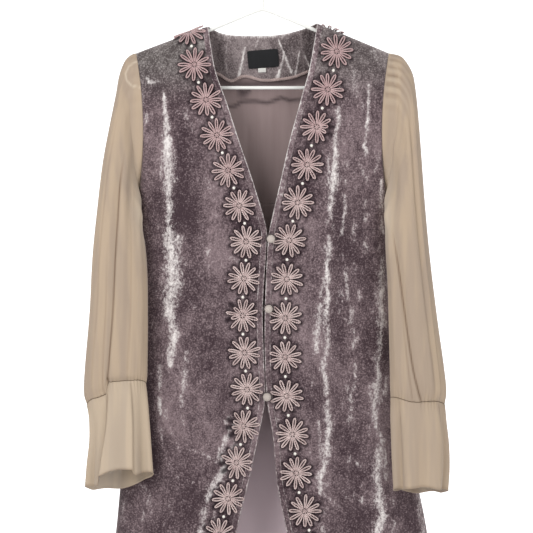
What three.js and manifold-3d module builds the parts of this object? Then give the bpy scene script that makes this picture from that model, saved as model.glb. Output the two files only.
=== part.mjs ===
// A long velvet coat with sheer sleeves, hanging on a tube hanger. Millimetres.
// +Z is up, +X is the viewer's right, the fronts face -Y, and the origin is the hook's inner top.
// Left and right are the viewer's. A row of a table is one level of the garment, from the top down.
import * as THREE from "three";
import { mergeVertices } from "three/addons/utils/BufferGeometryUtils.js";
import Module from "manifold-3d";

// Cloth
const SEAM_GAP = 0.3;
const VELVET_THICKNESS = 2;
const CHIFFON_THICKNESS = 1;
const FACING_THICKNESS = 1.2;
const BAND_THICKNESS = 1;
const BAND_WIDTH = 9;

// Shoulders, neck and armholes
const NECK_HALF_WIDTH = 82;
const BACK_NECK_Z = -119.5;
// Where each shoulder seam meets the neck, and how late the back neck edge turns up to it.
const NECK_POINTS = {
  left: { z: -105.5, lateness: 4.5 },
  right: { z: -101, lateness: 2 },
};
const SHOULDER_HALF_WIDTH = 190;
const SHOULDER_TIP_Z = -146;
const UNDERARM_Z = -372;
const HEM_Z = -1305;
const BACK_NECK_SET_BACK = 14;
const BACK_NECK_ROUNDNESS = 8;
// Between these widths the back's rounded top edge turns from the neck's into the shoulder's.
const NECK_TURN = { from: 58, to: 76 };
// The share of the armhole's drop at which its foot starts to lean to the side seam.
const ARMHOLE_FOOT = 0.55;
const ARMHOLE_HOLLOW = 10;
const ARMHOLE_HALF_DEPTH = 32;
const SHOULDER_DOME = 131;
const SIDE_ROUNDNESS = 3.4;

// The coat below the underarm: half widths, and how far front, back and side seam stand from y = 0.
const SECTIONS = [
  { z: UNDERARM_Z, left: 188, right: 188, front: 36, back: 34, side: 8 },
  { z: -480, left: 189, right: 190, front: 37, back: 36, side: 10 },
  { z: -600, left: 196, right: 200, front: 37, back: 37, side: 12 },
  { z: -720, left: 208, right: 218, front: 37, back: 38, side: 13 },
  { z: -867, left: 221, right: 248, front: 38, back: 40, side: 11 },
  { z: -1080, left: 248, right: 276, front: 41, back: 43, side: 6 },
  { z: HEM_Z, left: 276, right: 302, front: 45, back: 47, side: 2 },
];

// The front edges: down the V neck, shut at the buttons, then swinging apart.
const FRONT_EDGES = [
  { z: -104, left: -NECK_HALF_WIDTH, right: NECK_HALF_WIDTH },
  { z: -171, left: -71, right: 70 },
  { z: -220, left: -54, right: 56.5 },
  { z: -277, left: -35.5, right: 41 },
  { z: -345, left: -12.5, right: 25.5 },
  { z: -412, left: 6.2, right: 10.4 },
  { z: -440, left: 5.6, right: 7.4 },
  { z: -530, left: 0.5, right: 3.6 },
  { z: -600, left: 1.8, right: 3.4 },
  { z: -668, left: 3.6, right: 6.8 },
  { z: -722, left: -6, right: 15.6 },
  { z: -790, left: -21, right: 21.5 },
  { z: -867, left: -39.5, right: 36 },
  { z: -1080, left: -84, right: 71 },
  { z: HEM_Z, left: -130, right: 107 },
];

// Soft vertical folds of the skirt: at is the share of the way from the front edge (or the centre
// back) to the side seam, wide is the fold's half width as such a share, deep is its height at the hem.
const FOLDS = [
  { panel: "left", at: 0.42, wide: 0.13, deep: 10, from: -560 },
  { panel: "left", at: 0.74, wide: 0.1, deep: 13, from: -640 },
  { panel: "right", at: 0.4, wide: 0.12, deep: 9, from: -600 },
  { panel: "right", at: 0.72, wide: 0.12, deep: 14, from: -560 },
  { panel: "back", at: -0.7, wide: 0.1, deep: 13, from: -620 },
  { panel: "back", at: -0.33, wide: 0.1, deep: 10, from: -700 },
  { panel: "back", at: 0.04, wide: 0.11, deep: 12, from: -560 },
  { panel: "back", at: 0.4, wide: 0.1, deep: 9, from: -680 },
  { panel: "back", at: 0.73, wide: 0.1, deep: 14, from: -600 },
];

// Each sleeve ring leans from an outer point to an inner one. y is its middle, deep its half depth,
// and drop is how much lower the back of the ring hangs than its front.
const SLEEVE_RINGS = {
  left: [
    { outerX: -201, outerZ: -151, innerX: -188.9, innerZ: -374, y: 2, deep: 32.5, drop: 0 },
    { outerX: -209, outerZ: -161, innerX: -188.9, innerZ: -378, y: 0, deep: 33, drop: 0 },
    { outerX: -216, outerZ: -181, innerX: -188.7, innerZ: -383, y: -5, deep: 33, drop: 0 },
    { outerX: -221, outerZ: -210, innerX: -188, innerZ: -390, y: -12, deep: 31, drop: 0 },
    { outerX: -230, outerZ: -256, innerX: -185, innerZ: -400, y: -21, deep: 29, drop: 0 },
    { outerX: -240, outerZ: -312, innerX: -180, innerZ: -414, y: -31, deep: 27, drop: 0 },
    { outerX: -248, outerZ: -380, innerX: -175, innerZ: -440, y: -40, deep: 25, drop: 4 },
    { outerX: -255, outerZ: -452, innerX: -172, innerZ: -486, y: -46, deep: 25, drop: 6 },
    { outerX: -259, outerZ: -532, innerX: -171.5, innerZ: -548, y: -51, deep: 26, drop: 9 },
    { outerX: -266, outerZ: -615, innerX: -172, innerZ: -601, y: -55, deep: 27, drop: 16 },
    { outerX: -267, outerZ: -649, innerX: -172.5, innerZ: -624, y: -56, deep: 25, drop: 25 },
    { outerX: -262, outerZ: -664, innerX: -174.5, innerZ: -634, y: -56, deep: 19, drop: 30 },
  ],
  right: [
    { outerX: 206, outerZ: -149.5, innerX: 188.9, innerZ: -374, y: 2, deep: 32.5, drop: 0 },
    { outerX: 215, outerZ: -157, innerX: 188.9, innerZ: -378, y: 0, deep: 33, drop: 0 },
    { outerX: 226, outerZ: -177, innerX: 188.7, innerZ: -383, y: -5, deep: 33, drop: 0 },
    { outerX: 231, outerZ: -206, innerX: 188.4, innerZ: -390, y: -12, deep: 31, drop: 0 },
    { outerX: 235, outerZ: -250, innerX: 187, innerZ: -400, y: -21, deep: 29, drop: 0 },
    { outerX: 239, outerZ: -306, innerX: 184.5, innerZ: -414, y: -31, deep: 27, drop: 0 },
    { outerX: 244, outerZ: -376, innerX: 184.5, innerZ: -442, y: -40, deep: 25, drop: 4 },
    { outerX: 251, outerZ: -452, innerX: 187, innerZ: -488, y: -46, deep: 25, drop: 6 },
    { outerX: 261, outerZ: -536, innerX: 189, innerZ: -552, y: -51, deep: 26, drop: 9 },
    { outerX: 272, outerZ: -616, innerX: 190.5, innerZ: -618, y: -55, deep: 27, drop: 12 },
    { outerX: 275, outerZ: -650, innerX: 191, innerZ: -646, y: -56, deep: 25, drop: 12 },
    { outerX: 272, outerZ: -670, innerX: 192, innerZ: -660, y: -56, deep: 19, drop: 12 },
  ],
};

// The cuff below the wrist seam, in the same columns; wave is how far its ruffles swing in and out.
const CUFF_RINGS = {
  left: [
    { outerX: -259, outerZ: -686, innerX: -171.5, innerZ: -660, y: -56, deep: 21, drop: 30, wave: 1.2 },
    { outerX: -258, outerZ: -718, innerX: -169, innerZ: -695, y: -57, deep: 23, drop: 30, wave: 2.2 },
    { outerX: -261, outerZ: -752, innerX: -167, innerZ: -731, y: -57, deep: 24, drop: 29, wave: 3.2 },
    { outerX: -263, outerZ: -785, innerX: -165, innerZ: -768, y: -58, deep: 25, drop: 28, wave: 4.2 },
  ],
  right: [
    { outerX: 275, outerZ: -696, innerX: 191.5, innerZ: -688, y: -56, deep: 21, drop: 11, wave: 1.2 },
    { outerX: 278, outerZ: -730, innerX: 193, innerZ: -724, y: -57, deep: 23, drop: 10, wave: 2.2 },
    { outerX: 278, outerZ: -766, innerX: 195, innerZ: -762, y: -57, deep: 24, drop: 9, wave: 3.2 },
    { outerX: 275, outerZ: -800, innerX: 197.5, innerZ: -798, y: -58, deep: 25, drop: 8, wave: 4.2 },
  ],
};
const SLEEVE_SIDES = 24;
// Gathers and folds are given for a sleeve of this mean radius, and grow with the sleeve.
const SLEEVE_MEAN_RADIUS = 40;
// How far towards the front a ring keeps its own height while its back drops.
const DROP_AXIS = 0.6;
const CAP_GATHER = 0.8;
const CUFF_WAVES = 6;
const SLEEVE_FOLD = { angle: 50, wide: 24, deep: 6, from: 4 };

// The applied trim: twelve-petal flowers on a chain of beads, in from each front edge. The left chain
// starts with a flower astride the shoulder seam.
const TRIM = {
  left: { astrideZ: -119.5, firstZ: -164.5, pitch: 55.5 },
  right: { firstZ: -145, pitch: 58.4 },
};
const TRIM_TANGENT_REACH = 20;
const TRIM_HEM_CLEARANCE = 4;
const TRIM_INSET = [
  { z: -118, left: 30, right: 36 },
  { z: -210, left: 29.5, right: 36 },
  { z: -345, left: 32, right: 34 },
  { z: -432, left: 31, right: 32 },
  { z: -545, left: 30, right: 31 },
  { z: -655, left: 27, right: 30 },
  { z: -760, left: 24.5, right: 30 },
  { z: -850, left: 24.5, right: 34 },
  { z: HEM_Z, left: 26, right: 34 },
];
// The flowers behind the neck: x, and how far below the shoulder seam or the neck edge they sit.
const NECK_FLOWERS = [
  { x: 99, below: 23 },
  { x: 50, below: 31 },
  { x: -5, below: 31 },
  { x: -59, below: 31 },
];
const PETALS = 12;
const PETAL_REACH = 25;
const PETAL_WAIST = 16;
const PETAL_HALF_WIDTH = 2.8;
const PETAL_ROOT = 8;
const NECK_OF_LINK = 1.6;
const BEAD_HALF_WIDTH = 2.6;
const FLOWER_HEIGHT = { centre: 3.6, root: 1.8, waist: 3, tip: 2.4, link: 1.8, bead: 4.4 };
const TRIM_SEAT = SEAM_GAP + BAND_THICKNESS + 0.35;
const SHOULDER_TRIM_SEAT = TRIM_SEAT + 0.5;

// Closure
const BUTTON_RADIUS = 6.2;
const BUTTONS = [
  { name: "top", x: 12.6, z: -426 },
  { name: "middle", x: 9.2, z: -531 },
  { name: "bottom", x: 6.8, z: -663 },
];
const BUTTON_SIDES = 12;
const BUTTON_RINGS = 8;
const LOOP_CORD_RADIUS = 1;
const LOOP_SIDES = 6;
const LOOP_STEPS = 10;
const LOOP_ANGLES = { from: 200, to: -20 };

// Neck facing and labels
const FACING_GAP = 0.8;
const FACING_HALF_WIDTH = 66;
const FACING_COLUMNS = 14;
const FACING_ROWS = [0, 0.25, 0.5, 0.75, 1];
const TAG_GAP = 0.35;
const FACING_EDGE = [
  { x: -70, z: -176 },
  { x: -48, z: -187 },
  { x: -28, z: -180 },
  { x: 0, z: -186 },
  { x: 22, z: -185 },
  { x: 48, z: -181 },
  { x: 70, z: -173 },
];
const LABEL = { width: 46, height: 25, x: 1, z: -156, thickness: 0.8 };
const SIZE_TAB = { width: 12, height: 6, x: -0.5, z: -172.2, thickness: 0.6 };

// Hanger
const TUBE_RADIUS = 2.6;
const TUBE_SIDES = 8;
const ARM_APEX_Z = -80.5;
const ARM_APEX_ROUND = 6;
const ARM_SLOPE = 0.42;
const ARM_BEND_X = 183;
const ARM_X = [0, 6, 14, 70, ARM_BEND_X];
const END_ANGLES = { from: 66, to: -90 };
const END_STEPS = 5;
const HANGER_HALF_SPAN = 206;
const BAR_Z = -198;
const HOOK_RADIUS = 22.6;
const HOOK_CENTRE_Z = TUBE_RADIUS - HOOK_RADIUS;
const HOOK_ANGLES = { from: -80, to: 205 };
const HOOK_STEPS = 18;
const STEM_HEIGHT = 26;
const MERGE_DISTANCE = 1e-4;

const wasm = await Module();
wasm.setup();

const degrees = THREE.MathUtils.degToRad;
const mix = THREE.MathUtils.lerp;
const clamp = THREE.MathUtils.clamp;
const vector = (x, y, z) => new THREE.Vector3(x, y, z);
const range = (count) => Array.from({ length: count }, (_, i) => i);

// Rises smoothly from 0 at start to 1 at end; start may be the larger.
function ease(value, start, end) {
  const share = clamp((value - start) / (end - start), 0, 1);
  return share * share * (3 - 2 * share);
}

// A smooth curve through one column of a table, read at the height (or the x) at.
function along(table, column, at, key = "z") {
  const falls = table[0][key] > table[table.length - 1][key];
  const rows = falls ? [...table].reverse() : table;
  const place = clamp(at, rows[0][key], rows[rows.length - 1][key]);
  const last = rows.length - 2;
  const found = rows.findIndex((row, i) => i > 0 && row[key] >= place) - 1;
  const i = clamp(found, 0, last);
  const slope = (j) => {
    const low = Math.max(j - 1, 0);
    const high = Math.min(j + 1, rows.length - 1);
    return (rows[high][column] - rows[low][column]) / (rows[high][key] - rows[low][key]);
  };
  const span = rows[i + 1][key] - rows[i][key];
  const t = (place - rows[i][key]) / span;
  const a = rows[i][column];
  const b = rows[i + 1][column];
  const rise = (1 - t) * slope(i) * span * t * (1 - t) - t * slope(i + 1) * span * t * (1 - t);
  return mix(a, b, t * t * (3 - 2 * t)) + rise;
}

const sideName = (side) => (side < 0 ? "left" : "right");

// Height of the top edge at x: the back neck curve between the neck points, then the shoulder line.
function topZ(x) {
  const point = NECK_POINTS[sideName(x)];
  const share = Math.abs(x) / NECK_HALF_WIDTH;
  if (share < 1) return mix(BACK_NECK_Z, point.z, share ** point.lateness);
  const slope = (SHOULDER_TIP_Z - point.z) / (SHOULDER_HALF_WIDTH - NECK_HALF_WIDTH);
  return point.z + slope * (Math.min(Math.abs(x), SHOULDER_HALF_WIDTH) - NECK_HALF_WIDTH);
}

// The armhole is an oval hollowed towards the body: drop runs from 0 at its top to 1 at the underarm.
const armholeX = (drop) => SHOULDER_HALF_WIDTH - 2 * drop - 4 * ARMHOLE_HOLLOW * drop * (1 - drop);
const armholeY = (drop) => ARMHOLE_HALF_DEPTH * 2 * Math.sqrt(Math.max(0, drop * (1 - drop)));

// Half width and side seam depth at a place given by x and z, above the underarm and below it.
function outline(side, x, z, facing) {
  const shoulder = facing < 0 ? topZ(side * Math.max(Math.abs(x), NECK_HALF_WIDTH)) : topZ(x);
  const drop = clamp((shoulder - z) / (shoulder - UNDERARM_Z), 0, 1);
  const full = facing < 0 ? "front" : "back";
  if (z > UNDERARM_Z) {
    const fall = clamp((shoulder - z) / SHOULDER_DOME, 0, 1);
    const dome = Math.sqrt(1 - (1 - fall) ** 2);
    const plain = Math.sin((fall * Math.PI) / 2);
    const round = facing < 0 ? 1 : ease(Math.abs(x), NECK_TURN.from, NECK_TURN.to);
    const rise = mix(plain, dome, round);
    const neck = Math.max(0, 1 - (Math.abs(x) / NECK_HALF_WIDTH) ** BACK_NECK_ROUNDNESS);
    const top = facing < 0 ? 0 : BACK_NECK_SET_BACK * neck;
    const middle = mix(top, SECTIONS[0][full], rise);
    const edge = armholeY(drop) + facing * SECTIONS[0].side * ease(drop, ARMHOLE_FOOT, 1);
    return { half: armholeX(drop), middle: facing * middle, edge: facing * edge };
  }
  return {
    half: along(SECTIONS, sideName(side), z),
    middle: facing * along(SECTIONS, full, z),
    edge: along(SECTIONS, "side", z),
  };
}

// How far the folds of one panel push its surface out at a share of the way to the side seam.
function foldHeight(panel, share, z) {
  return FOLDS.filter((fold) => fold.panel === panel).reduce(
    (sum, fold) =>
      sum + fold.deep * ease(z, fold.from, HEM_Z) * Math.exp(-(((share - fold.at) / fold.wide) ** 2)),
    0,
  );
}

const frontEdge = (side, z) => along(FRONT_EDGES, sideName(side), z);

// The outer face of the cloth: facing is -1 on a front and 1 on the back.
function surface(side, facing, x, z) {
  const { half, middle, edge } = outline(side, x, z, facing);
  const share = clamp(Math.abs(x) / half, 0, 1);
  const crown = (1 - share ** SIDE_ROUNDNESS) ** (1 / SIDE_ROUNDNESS);
  const start = facing < 0 ? frontEdge(side, z) : 0;
  const across = facing < 0 ? (x - start) / (side * half - start) : x / half;
  const fold = foldHeight(facing < 0 ? sideName(side) : "back", across, z);
  return vector(x, mix(edge, middle, crown) + facing * fold, z);
}

// The levels of the panels: close together over the shoulders, then even down to the hem.
const SHOULDER_LEVELS = 12;
const SKIRT_LEVELS = 15;
const LEVELS = [
  ...range(SHOULDER_LEVELS).map((i) => ({ drop: (1 - Math.cos((Math.PI * i) / SHOULDER_LEVELS)) / 2 })),
  ...range(SKIRT_LEVELS + 1).map((i) => ({ drop: 1, z: mix(UNDERARM_Z, HEM_Z, i / SKIRT_LEVELS) })),
];

// A point of a front: share runs from the front edge (0) to the armhole or the side seam (1).
function frontPoint(side, share, level) {
  const top = topZ(side * mix(NECK_HALF_WIDTH, SHOULDER_HALF_WIDTH, share));
  const z = level.z ?? mix(top, UNDERARM_Z, level.drop);
  const half = level.z ? along(SECTIONS, sideName(side), z) : armholeX(level.drop);
  const x = mix(frontEdge(side, z), side * half, share);
  return surface(side, -1, x, z);
}

// A point of the back: share runs from -1 at the left side seam to 1 at the right one.
function backPoint(share, level) {
  const side = share < 0 ? -1 : 1;
  const top = topZ(share * SHOULDER_HALF_WIDTH);
  const z = level.z ?? mix(top, UNDERARM_Z, level.drop);
  const half = level.z ? along(SECTIONS, sideName(side), z) : armholeX(level.drop);
  return surface(side, 1, share * half, z);
}

// A closed mesh from points and triangles, turned so that its faces point out.
function solid(points, triangles) {
  let volume = 0;
  for (const [a, b, c] of triangles) {
    volume += points[a].dot(points[b].clone().cross(points[c]));
  }
  const index = triangles.flatMap(([a, b, c]) => (volume < 0 ? [a, c, b] : [a, b, c]));
  const geometry = new THREE.BufferGeometry().setFromPoints(points);
  geometry.setIndex(index);
  geometry.computeVertexNormals();
  return geometry;
}

// Unit normals of a grid of points by the differences to the neighbours. The sheet is [row][column].
function gridNormals(sheet, wraps) {
  const columns = sheet[0].length;
  const before = (c) => (wraps ? (c + columns - 1) % columns : Math.max(c - 1, 0));
  const after = (c) => (wraps ? (c + 1) % columns : Math.min(c + 1, columns - 1));
  return sheet.map((row, r) =>
    row.map((_, c) => {
      const across = row[after(c)].clone().sub(row[before(c)]);
      const high = sheet[Math.max(r - 1, 0)][c];
      const low = sheet[Math.min(r + 1, sheet.length - 1)][c];
      return across.cross(low.clone().sub(high)).normalize();
    }),
  );
}

// A wall between an outer and an inner sheet of the same size, closed along every free edge.
function wall(outer, inner, wraps) {
  const rows = outer.length;
  const columns = outer[0].length;
  const points = [...outer.flat(), ...inner.flat()];
  const deep = rows * columns;
  const at = (r, c) => r * columns + (c % columns);
  const triangles = [];
  const quad = (a, b, c, d) => triangles.push([a, b, c], [a, c, d]);
  for (const r of range(rows - 1)) {
    for (const c of range(wraps ? columns : columns - 1)) {
      quad(at(r, c), at(r + 1, c), at(r + 1, c + 1), at(r, c + 1));
      quad(deep + at(r, c), deep + at(r, c + 1), deep + at(r + 1, c + 1), deep + at(r + 1, c));
    }
  }
  for (const c of range(wraps ? columns : columns - 1)) {
    quad(at(0, c), at(0, c + 1), deep + at(0, c + 1), deep + at(0, c));
    quad(at(rows - 1, c + 1), at(rows - 1, c), deep + at(rows - 1, c), deep + at(rows - 1, c + 1));
  }
  if (!wraps) {
    for (const r of range(rows - 1)) {
      quad(at(r + 1, 0), at(r, 0), deep + at(r, 0), deep + at(r + 1, 0));
      const c = columns - 1;
      quad(at(r, c), at(r + 1, c), deep + at(r + 1, c), deep + at(r, c));
    }
  }
  return solid(points, triangles);
}

// The same sheet moved along its normals by a distance.
const moved = (sheet, normals, distance) =>
  sheet.map((row, r) => row.map((point, c) => point.clone().addScaledVector(normals[r][c], distance)));

// Materials
const cloth = (color, roughness) =>
  new THREE.MeshStandardMaterial({ color, roughness, metalness: 0, side: THREE.FrontSide });
const MATERIALS = {
  velvet: cloth(0x7d6e71, 0.75),
  chiffon: cloth(0xc8b296, 0.8),
  braid: cloth(0xbe9b9b, 0.7),
  satin: cloth(0xcfc6b8, 0.5),
  labelBlack: cloth(0x16161a, 0.6),
  labelWhite: cloth(0xeceae4, 0.7),
  tube: cloth(0xf4f4f2, 0.35),
};

const coat = new THREE.Group();
function add(name, geometry, material) {
  const mesh = new THREE.Mesh(geometry, material);
  mesh.name = name;
  coat.add(mesh);
}

// Velvet panels. Normals are set where panels meet, so that the cut faces stay parallel.
const FRONT_COLUMNS = 10;
const FRONT_SHARES = range(FRONT_COLUMNS + 1).map((i) => 1 - (1 - i / FRONT_COLUMNS) ** 2);
function front(side) {
  const outer = LEVELS.map((level) => FRONT_SHARES.map((share) => frontPoint(side, share, level)));
  const normals = gridNormals(outer, false);
  const last = FRONT_SHARES.length - 1;
  for (const [r, row] of normals.entries()) {
    for (const normal of row) normal.multiplyScalar(normal.y > 0 ? -1 : 1);
    if (r === 0) for (const normal of row) normal.set(0, 0, 1);
    if (LEVELS[r].z) row[last].set(side, 0, 0);
  }
  for (const point of outer[0]) point.y = -SEAM_GAP / 2;
  outer.forEach((row, r) => LEVELS[r].z && (row[last].y -= SEAM_GAP / 2));
  return wall(outer, moved(outer, normals, -VELVET_THICKNESS), false);
}

const BACK_TOP_X = [0, 28, 52, 66, 76, NECK_HALF_WIDTH, 105, 128, 150, 168, 181, 187.5, SHOULDER_HALF_WIDTH];
function back() {
  const halves = BACK_TOP_X.map((x) => x / SHOULDER_HALF_WIDTH);
  const shares = [...halves.slice(1).reverse().map((share) => -share), ...halves];
  const outer = LEVELS.map((level) => shares.map((share) => backPoint(share, level)));
  const normals = gridNormals(outer, false);
  const last = shares.length - 1;
  for (const [r, row] of normals.entries()) {
    for (const normal of row) normal.multiplyScalar(normal.y < 0 ? -1 : 1);
    if (LEVELS[r].z) {
      row[0].set(-1, 0, 0);
      row[last].set(1, 0, 0);
      outer[r][0].y += SEAM_GAP / 2;
      outer[r][last].y += SEAM_GAP / 2;
    }
  }
  outer[0].forEach((point, c) => {
    if (Math.abs(point.x) < NECK_HALF_WIDTH - 1) return;
    normals[0][c].set(0, 0, 1);
    point.y = SEAM_GAP / 2;
  });
  return wall(outer, moved(outer, normals, -VELVET_THICKNESS), false);
}

// The turned front edge: a narrow band on the front, made from the front's own points.
function edgeBand(side) {
  const atWidth = (width, level) => {
    const edge = frontPoint(side, 0, level);
    const outer = frontPoint(side, 1, level);
    return frontPoint(side, width / Math.abs(outer.x - edge.x), level);
  };
  const levels = LEVELS.slice(1);
  const base = levels.map((level) => [SEAM_GAP, BAND_WIDTH].map((width) => atWidth(width, level)));
  const normals = gridNormals(base, false);
  for (const normal of normals.flat()) normal.multiplyScalar(normal.y > 0 ? -1 : 1);
  const under = moved(base, normals, SEAM_GAP);
  return wall(moved(base, normals, SEAM_GAP + BAND_THICKNESS), under, false);
}

for (const side of [-1, 1]) {
  add(`front_${sideName(side)}`, front(side), MATERIALS.velvet);
  add(`edge_band_${sideName(side)}`, edgeBand(side), MATERIALS.velvet);
}
add("back", back(), MATERIALS.velvet);

// A sleeve ring: an oval through its outer and inner points, gathered or folded by radial moves.
function sleeveRing(row, extra) {
  return range(SLEEVE_SIDES).map((i) => {
    const angle = (2 * Math.PI * i) / SLEEVE_SIDES;
    const out = (1 + Math.cos(angle)) / 2;
    const toFront = Math.sin(angle);
    const swell = 1 + extra(angle, i) / SLEEVE_MEAN_RADIUS;
    const middleX = (row.outerX + row.innerX) / 2;
    const x = middleX + (mix(row.innerX, row.outerX, out) - middleX) * swell;
    const z = mix(row.innerZ, row.outerZ, out) + (row.drop / 2) * (toFront - DROP_AXIS);
    return vector(x, row.y - row.deep * toFront * swell, z);
  });
}

// The armhole's own outline, which the sleeve starts from.
const armholeRing = (side) =>
  range(SLEEVE_SIDES).map((i) => {
    const angle = (2 * Math.PI * i) / SLEEVE_SIDES;
    const drop = (1 - Math.cos(angle)) / 2;
    const facing = Math.sin(angle) > 0 ? -1 : 1;
    const seat = armholeY(drop) * facing + SECTIONS[0].side * ease(drop, ARMHOLE_FOOT, 1);
    return vector(side * (armholeX(drop) + SEAM_GAP), seat, mix(SHOULDER_TIP_Z, UNDERARM_Z, drop));
  });

// The gathers of the cap, the long fold down the arm and the gathers of the wrist seam.
function sleeveExtra(index, count) {
  const gathered = index === 0 || index === count - 1;
  const { angle: place, wide, deep, from } = SLEEVE_FOLD;
  const depth = deep * ease(index, from, from + 3) * (1 - ease(index, count - 3, count - 1));
  return (angle, i) => {
    const gather = gathered ? CAP_GATHER * (i % 2 ? -1 : 1) : 0;
    return gather - depth * Math.exp(-(((angle - degrees(place)) / degrees(wide)) ** 2));
  };
}

function outwardNormals(rings) {
  const normals = gridNormals(rings, true);
  rings.forEach((ring, r) => {
    const middle = ring.reduce((sum, point) => sum.add(point), vector(0, 0, 0)).divideScalar(ring.length);
    const lean = ring.reduce((sum, p, c) => sum + normals[r][c].dot(p.clone().sub(middle)), 0);
    if (lean < 0) for (const normal of normals[r]) normal.negate();
  });
  return normals;
}

for (const side of [-1, 1]) {
  const name = sideName(side);
  const rows = SLEEVE_RINGS[name];
  const rings = [
    armholeRing(side),
    ...rows.map((row, index) => sleeveRing(row, sleeveExtra(index, rows.length))),
  ];
  const normals = outwardNormals(rings);
  for (const normal of normals[0]) normal.setX(0).normalize();
  const inner = moved(rings, normals, -CHIFFON_THICKNESS);
  add(`sleeve_${name}`, wall(rings, inner, true), MATERIALS.chiffon);

  const wrist = rings[rings.length - 1].map((point) => point.clone().setZ(point.z - SEAM_GAP));
  const cuffRings = [
    wrist,
    ...CUFF_RINGS[name].map((row) => sleeveRing(row, (angle) => row.wave * Math.cos(CUFF_WAVES * angle))),
  ];
  const cuffNormals = outwardNormals(cuffRings);
  const cuffInner = moved(cuffRings, cuffNormals, -CHIFFON_THICKNESS);
  cuffInner[0] = inner[inner.length - 1].map((point) => point.clone().setZ(point.z - SEAM_GAP));
  add(`flounce_${name}`, wall(cuffRings, cuffInner, true), MATERIALS.chiffon);
}

// Back neck facing, inside the back: its lower edge hangs in a wave.
function facing() {
  const across = range(FACING_COLUMNS + 1).map((i) => i / FACING_COLUMNS);
  const columns = across.map((share) => mix(-FACING_HALF_WIDTH, FACING_HALF_WIDTH, share));
  const onBack = (depth) => (x, share) => {
    const z = mix(topZ(x) - 1, along(FACING_EDGE, "z", x, "x"), share);
    return lifted((u, v) => surface(u < 0 ? -1 : 1, 1, u, v), x, z, depth);
  };
  const outer = onBack(VELVET_THICKNESS + FACING_GAP);
  const inner = onBack(VELVET_THICKNESS + FACING_GAP + FACING_THICKNESS);
  const sheet = (place) => FACING_ROWS.map((share) => columns.map((x) => place(x, share)));
  return wall(sheet(outer), sheet(inner), false);
}

// A point of the surface place(u, v) moved along the cross product of its u and v directions,
// which points out of a front and into the coat from its back.
function lifted(place, u, v, height) {
  const step = 1.5;
  const across = place(u + step, v).sub(place(u - step, v));
  const down = place(u, v + step).sub(place(u, v - step));
  const normal = across.cross(down).normalize();
  return place(u, v).addScaledVector(normal, height);
}
add("back_neck_facing", facing(), MATERIALS.velvet);

// A flat tag sewn to the facing.
function tag({ width, height, x, z, thickness }) {
  const depth = VELVET_THICKNESS + FACING_GAP + FACING_THICKNESS;
  const seat = lifted((u, v) => surface(1, 1, u, v), x, z, depth);
  const above = lifted((u, v) => surface(1, 1, u, v), x, z + height / 2, depth);
  const below = lifted((u, v) => surface(1, 1, u, v), x, z - height / 2, depth);
  const geometry = new THREE.BoxGeometry(width, thickness, height);
  const lean = Math.atan2(above.y - below.y, above.z - below.z);
  geometry.rotateX(-lean);
  return geometry.translate(x, seat.y - thickness / 2 - TAG_GAP, z);
}
add("label", tag(LABEL), MATERIALS.labelBlack);
add("size_tab", tag(SIZE_TAB), MATERIALS.labelWhite);

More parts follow.
